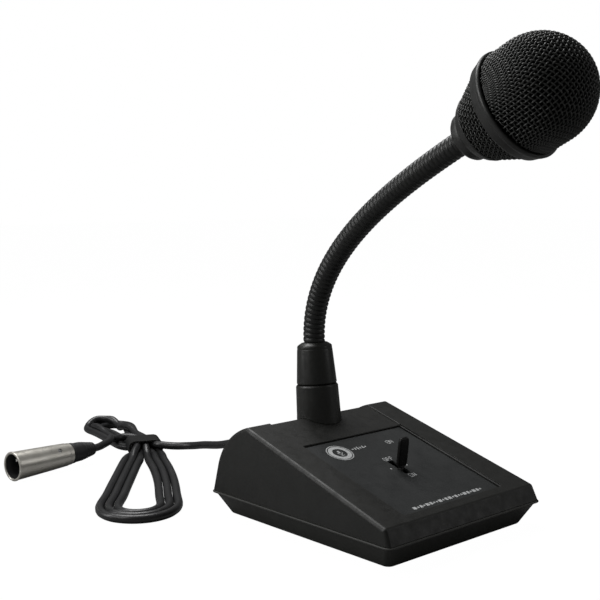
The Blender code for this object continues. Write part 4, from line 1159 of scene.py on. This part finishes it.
def dome_strands(steps=3):
    """The wires of the upper grille, over and under each other by turns."""
    radius = BALL_RADIUS - 0.0001 - 2 * WIRE_RADIUS + 0.00004
    net = dome_net(radius, WEAVE_PITCH, WEAVE_TURN, DOME_FOOT)
    for family in (0, 1):
        for line_key in sorted({key[family] for key in net}):
            others = sorted(key[1 - family] for key in net if key[family] == line_key)
            runs = [[others[0]]]
            for a, b in zip(others, others[1:]):
                if b == a + 1:
                    runs[-1].append(b)
                else:
                    runs.append([b])
            for run in runs:
                row = [net[(line_key, k) if family == 0 else (k, line_key)] for k in run]
                strand = []
                for n, (a, b) in enumerate(zip(row, row[1:])):
                    before = row[n - 1] if n else 2 * a - b
                    after = row[n + 2] if n + 2 < len(row) else 2 * b - a
                    sign = 1 if (line_key + run[n]) % 2 == family else -1
                    for s in range(steps):
                        t = s / steps
                        spot, out = dome_spot(through(before, a, b, after, t), radius)
                        spot += out * (WAVE * sign * math.cos(math.pi * t))
                        strand.append((spot, out, spot.z >= DOME_FOOT))
                yield strand


def cone_strands(steps=4):
    """The wires of the lower grille: the same cloth rolled into a cone, with its lap behind."""
    low_r, low_z, high_r, high_z = 0.0172, -0.0240, 0.0251, -0.0074
    slant = math.hypot(high_r - low_r, high_z - low_z)
    sine, cosine = (high_r - low_r) / slant, (high_z - low_z) / slant
    first, last = low_r / sine, high_r / sine

    def place(u, v, height):
        rho, phi = math.hypot(u, v), math.atan2(v, u)
        azimuth = phi / sine + CONE_TURN
        out = Vector((cosine * math.cos(azimuth), cosine * math.sin(azimuth), -sine))
        spot = Vector((rho * sine * math.cos(azimuth), rho * sine * math.sin(azimuth),
                       low_z + (rho - first) * cosine))
        return spot + out * height, out, first <= rho <= last and abs(phi) <= math.pi * sine

    count = int(last / WEAVE_PITCH) + 2
    cos_tilt, sin_tilt = math.cos(CONE_TILT), math.sin(CONE_TILT)
    for family in (0, 1):
        for n in range(-count, count + 1):
            sign = 1 if (n + family) % 2 == 0 else -1
            strand = []
            for k in range(-count * steps, count * steps + 1):
                p, q = n * WEAVE_PITCH, k * (WEAVE_PITCH / steps)
                if family:
                    p, q = q, p
                strand.append(place(p * cos_tilt - q * sin_tilt, p * sin_tilt + q * cos_tilt,
                                    WAVE * sign * math.cos(math.pi * k / steps)))
            yield strand


def make_foam():
    """The foam behind the mesh: a soft dome, and a thin liner in the cone."""
    outer, thick, steps = BALL_RADIUS - 0.0018, 0.0018, 24
    angles = [math.radians(89.5) * (1 - i / steps) for i in range(steps + 1)]
    walls = []
    for r in (outer, outer - thick):
        walls.append([(r * math.cos(a), BALL_MIDDLE + r * math.sin(a)) for a in angles] + [(r, DOME_FOOT)])
    foam = skin("foam_dome", [circle(r, z, 96) for r, z in walls[0] + walls[1][::-1]])
    foam.data.transform(HEAD)
    smooth(foam, 60)
    dress(foam, "screen_foam", "head", ("foam_screen",))
    wall = [(0.0163, -0.0236), (0.0242, -0.0079), (0.0236, -0.0079), (0.0157, -0.0236)]
    liner = turned("foam_liner", wall, HEAD, 96, 0.0001)
    dress(liner, "screen_foam", "head")


make_rings()
weave("grille_dome", "upper_grille", dome_strands())
weave("grille_cone", "lower_grille", cone_strands())
make_foam()


# ------------------------------------------------------------------ the CAD nodes that stay
CAD_LOOKS = {
    "foot_": "foot_rubber", "tray_screw_": "fastener_steel", "ballast_plate": "ballast_steel",
    "circuit_board": "board_laminate", "board_spacer_": "brass", "board_screw_": "fastener_steel",
    "switch_housing": "inner_plastic", "switch_pivot_pin": "fastener_steel", "switch_contact_": "brass",
    "switch_lever": "fastener_steel", "neck_stud": "fastener_steel", "stud_washer": "fastener_steel",
    "stud_nut": "brass", "neck_lead": "cable_jacket", "cable_inner_lead": "cable_jacket",
    "capsule_cradle": "cradle_rubber", "capsule": "capsule_metal", "plug_insert": "inner_plastic",
}
longest_first = sorted(CAD_LOOKS, key=len, reverse=True)
for node_name, node in NODES.items():
    if node.hide_render:
        continue
    look = next((CAD_LOOKS[key] for key in longest_first if node_name.startswith(key)), None)
    if look is None:
        raise SystemExit(f"no look for {node_name}")
    node.data.materials.clear()
    node.data.materials.append(LOOK[look])
    bevel = node.modifiers.new("soft_edges", "BEVEL")
    bevel.width, bevel.segments, bevel.limit_method, bevel.angle_limit = 0.00012, 2, "ANGLE", math.radians(40)


# ------------------------------------------------------------------ the stage
def make_stage():
    """A pale floor and a pale surround, both brighter to the camera than the light that they give."""
    bm = bmesh.new()
    bmesh.ops.create_grid(bm, x_segments=1, y_segments=1, size=6.0)
    floor = object_of("floor", bm)
    material = bpy.data.materials.new("floor")
    material.use_nodes = True
    tree = material.node_tree
    shader = tree.nodes["Principled BSDF"]
    for key, value in (("Base Color", (0.24, 0.24, 0.24, 1)), ("Roughness", 0.9), ("Specular IOR Level", 0.0)):
        shader.inputs[key].default_value = value
    glow = add_node(tree, "Emission", {"Strength": 1.08})
    seen = add_node(tree, "Math", {0: add_node(tree, "LightPath").outputs["Is Camera Ray"], 1: 0.92})
    seen.operation = "MULTIPLY"
    mix = add_node(tree, "MixShader", {"Fac": seen.outputs["Value"], 1: shader.outputs["BSDF"],
                                       2: glow.outputs["Emission"]})
    tree.links.new(mix.outputs["Shader"], tree.nodes["Material Output"].inputs["Surface"])
    floor.data.materials.append(material)

    world = bpy.data.worlds.new("world")
    world.use_nodes = True
    bpy.context.scene.world = world
    tree = world.node_tree
    strength = add_node(tree, "MapRange", {"Value": add_node(tree, "LightPath").outputs["Is Camera Ray"],
                                           "To Min": 0.10, "To Max": 1.0})
    background = tree.nodes["Background"]
    fill(tree, background.inputs["Color"], (1, 1, 1, 1))
    fill(tree, background.inputs["Strength"], strength.outputs["Result"])
    bpy.context.scene.view_settings.view_transform = "Standard"


def soft_light(name, aim, ahead, right, up, size, power):
    """A soft light that looks at aim from ahead, right and up of it, as the camera stands."""
    data = bpy.data.lights.new(name, "AREA")
    data.shape = "RECTANGLE"
    data.size, data.size_y = size
    data.energy = power
    lamp = bpy.data.objects.new(name, data)
    lamp.location = aim + LEVEL_AHEAD * ahead + CAMERA_RIGHT * right + Vector((0, 0, up))
    lamp.rotation_euler = (aim - lamp.location).to_track_quat("-Z", "Y").to_euler()
    bpy.context.scene.collection.objects.link(lamp)


make_stage()
LEVEL_AHEAD = Vector((CAMERA_AHEAD.x, CAMERA_AHEAD.y, 0)).normalized()
MIDDLE = Vector((0, 0.05, 0.12))
soft_light("top_light", MIDDLE, 0.46, -0.34, 1.1, (0.75, 0.65), 12.5)
soft_light("left_light", MIDDLE, -0.02, -1.0, 0.42, (0.25, 0.8), 3.4)
soft_light("right_light", MIDDLE, -0.1, 1.2, 0.5, (0.3, 0.8), 1.2)
soft_light("head_light", HEAD_PLACE, -0.12, -0.42, 0.10, (0.10, 0.30), 0.42)
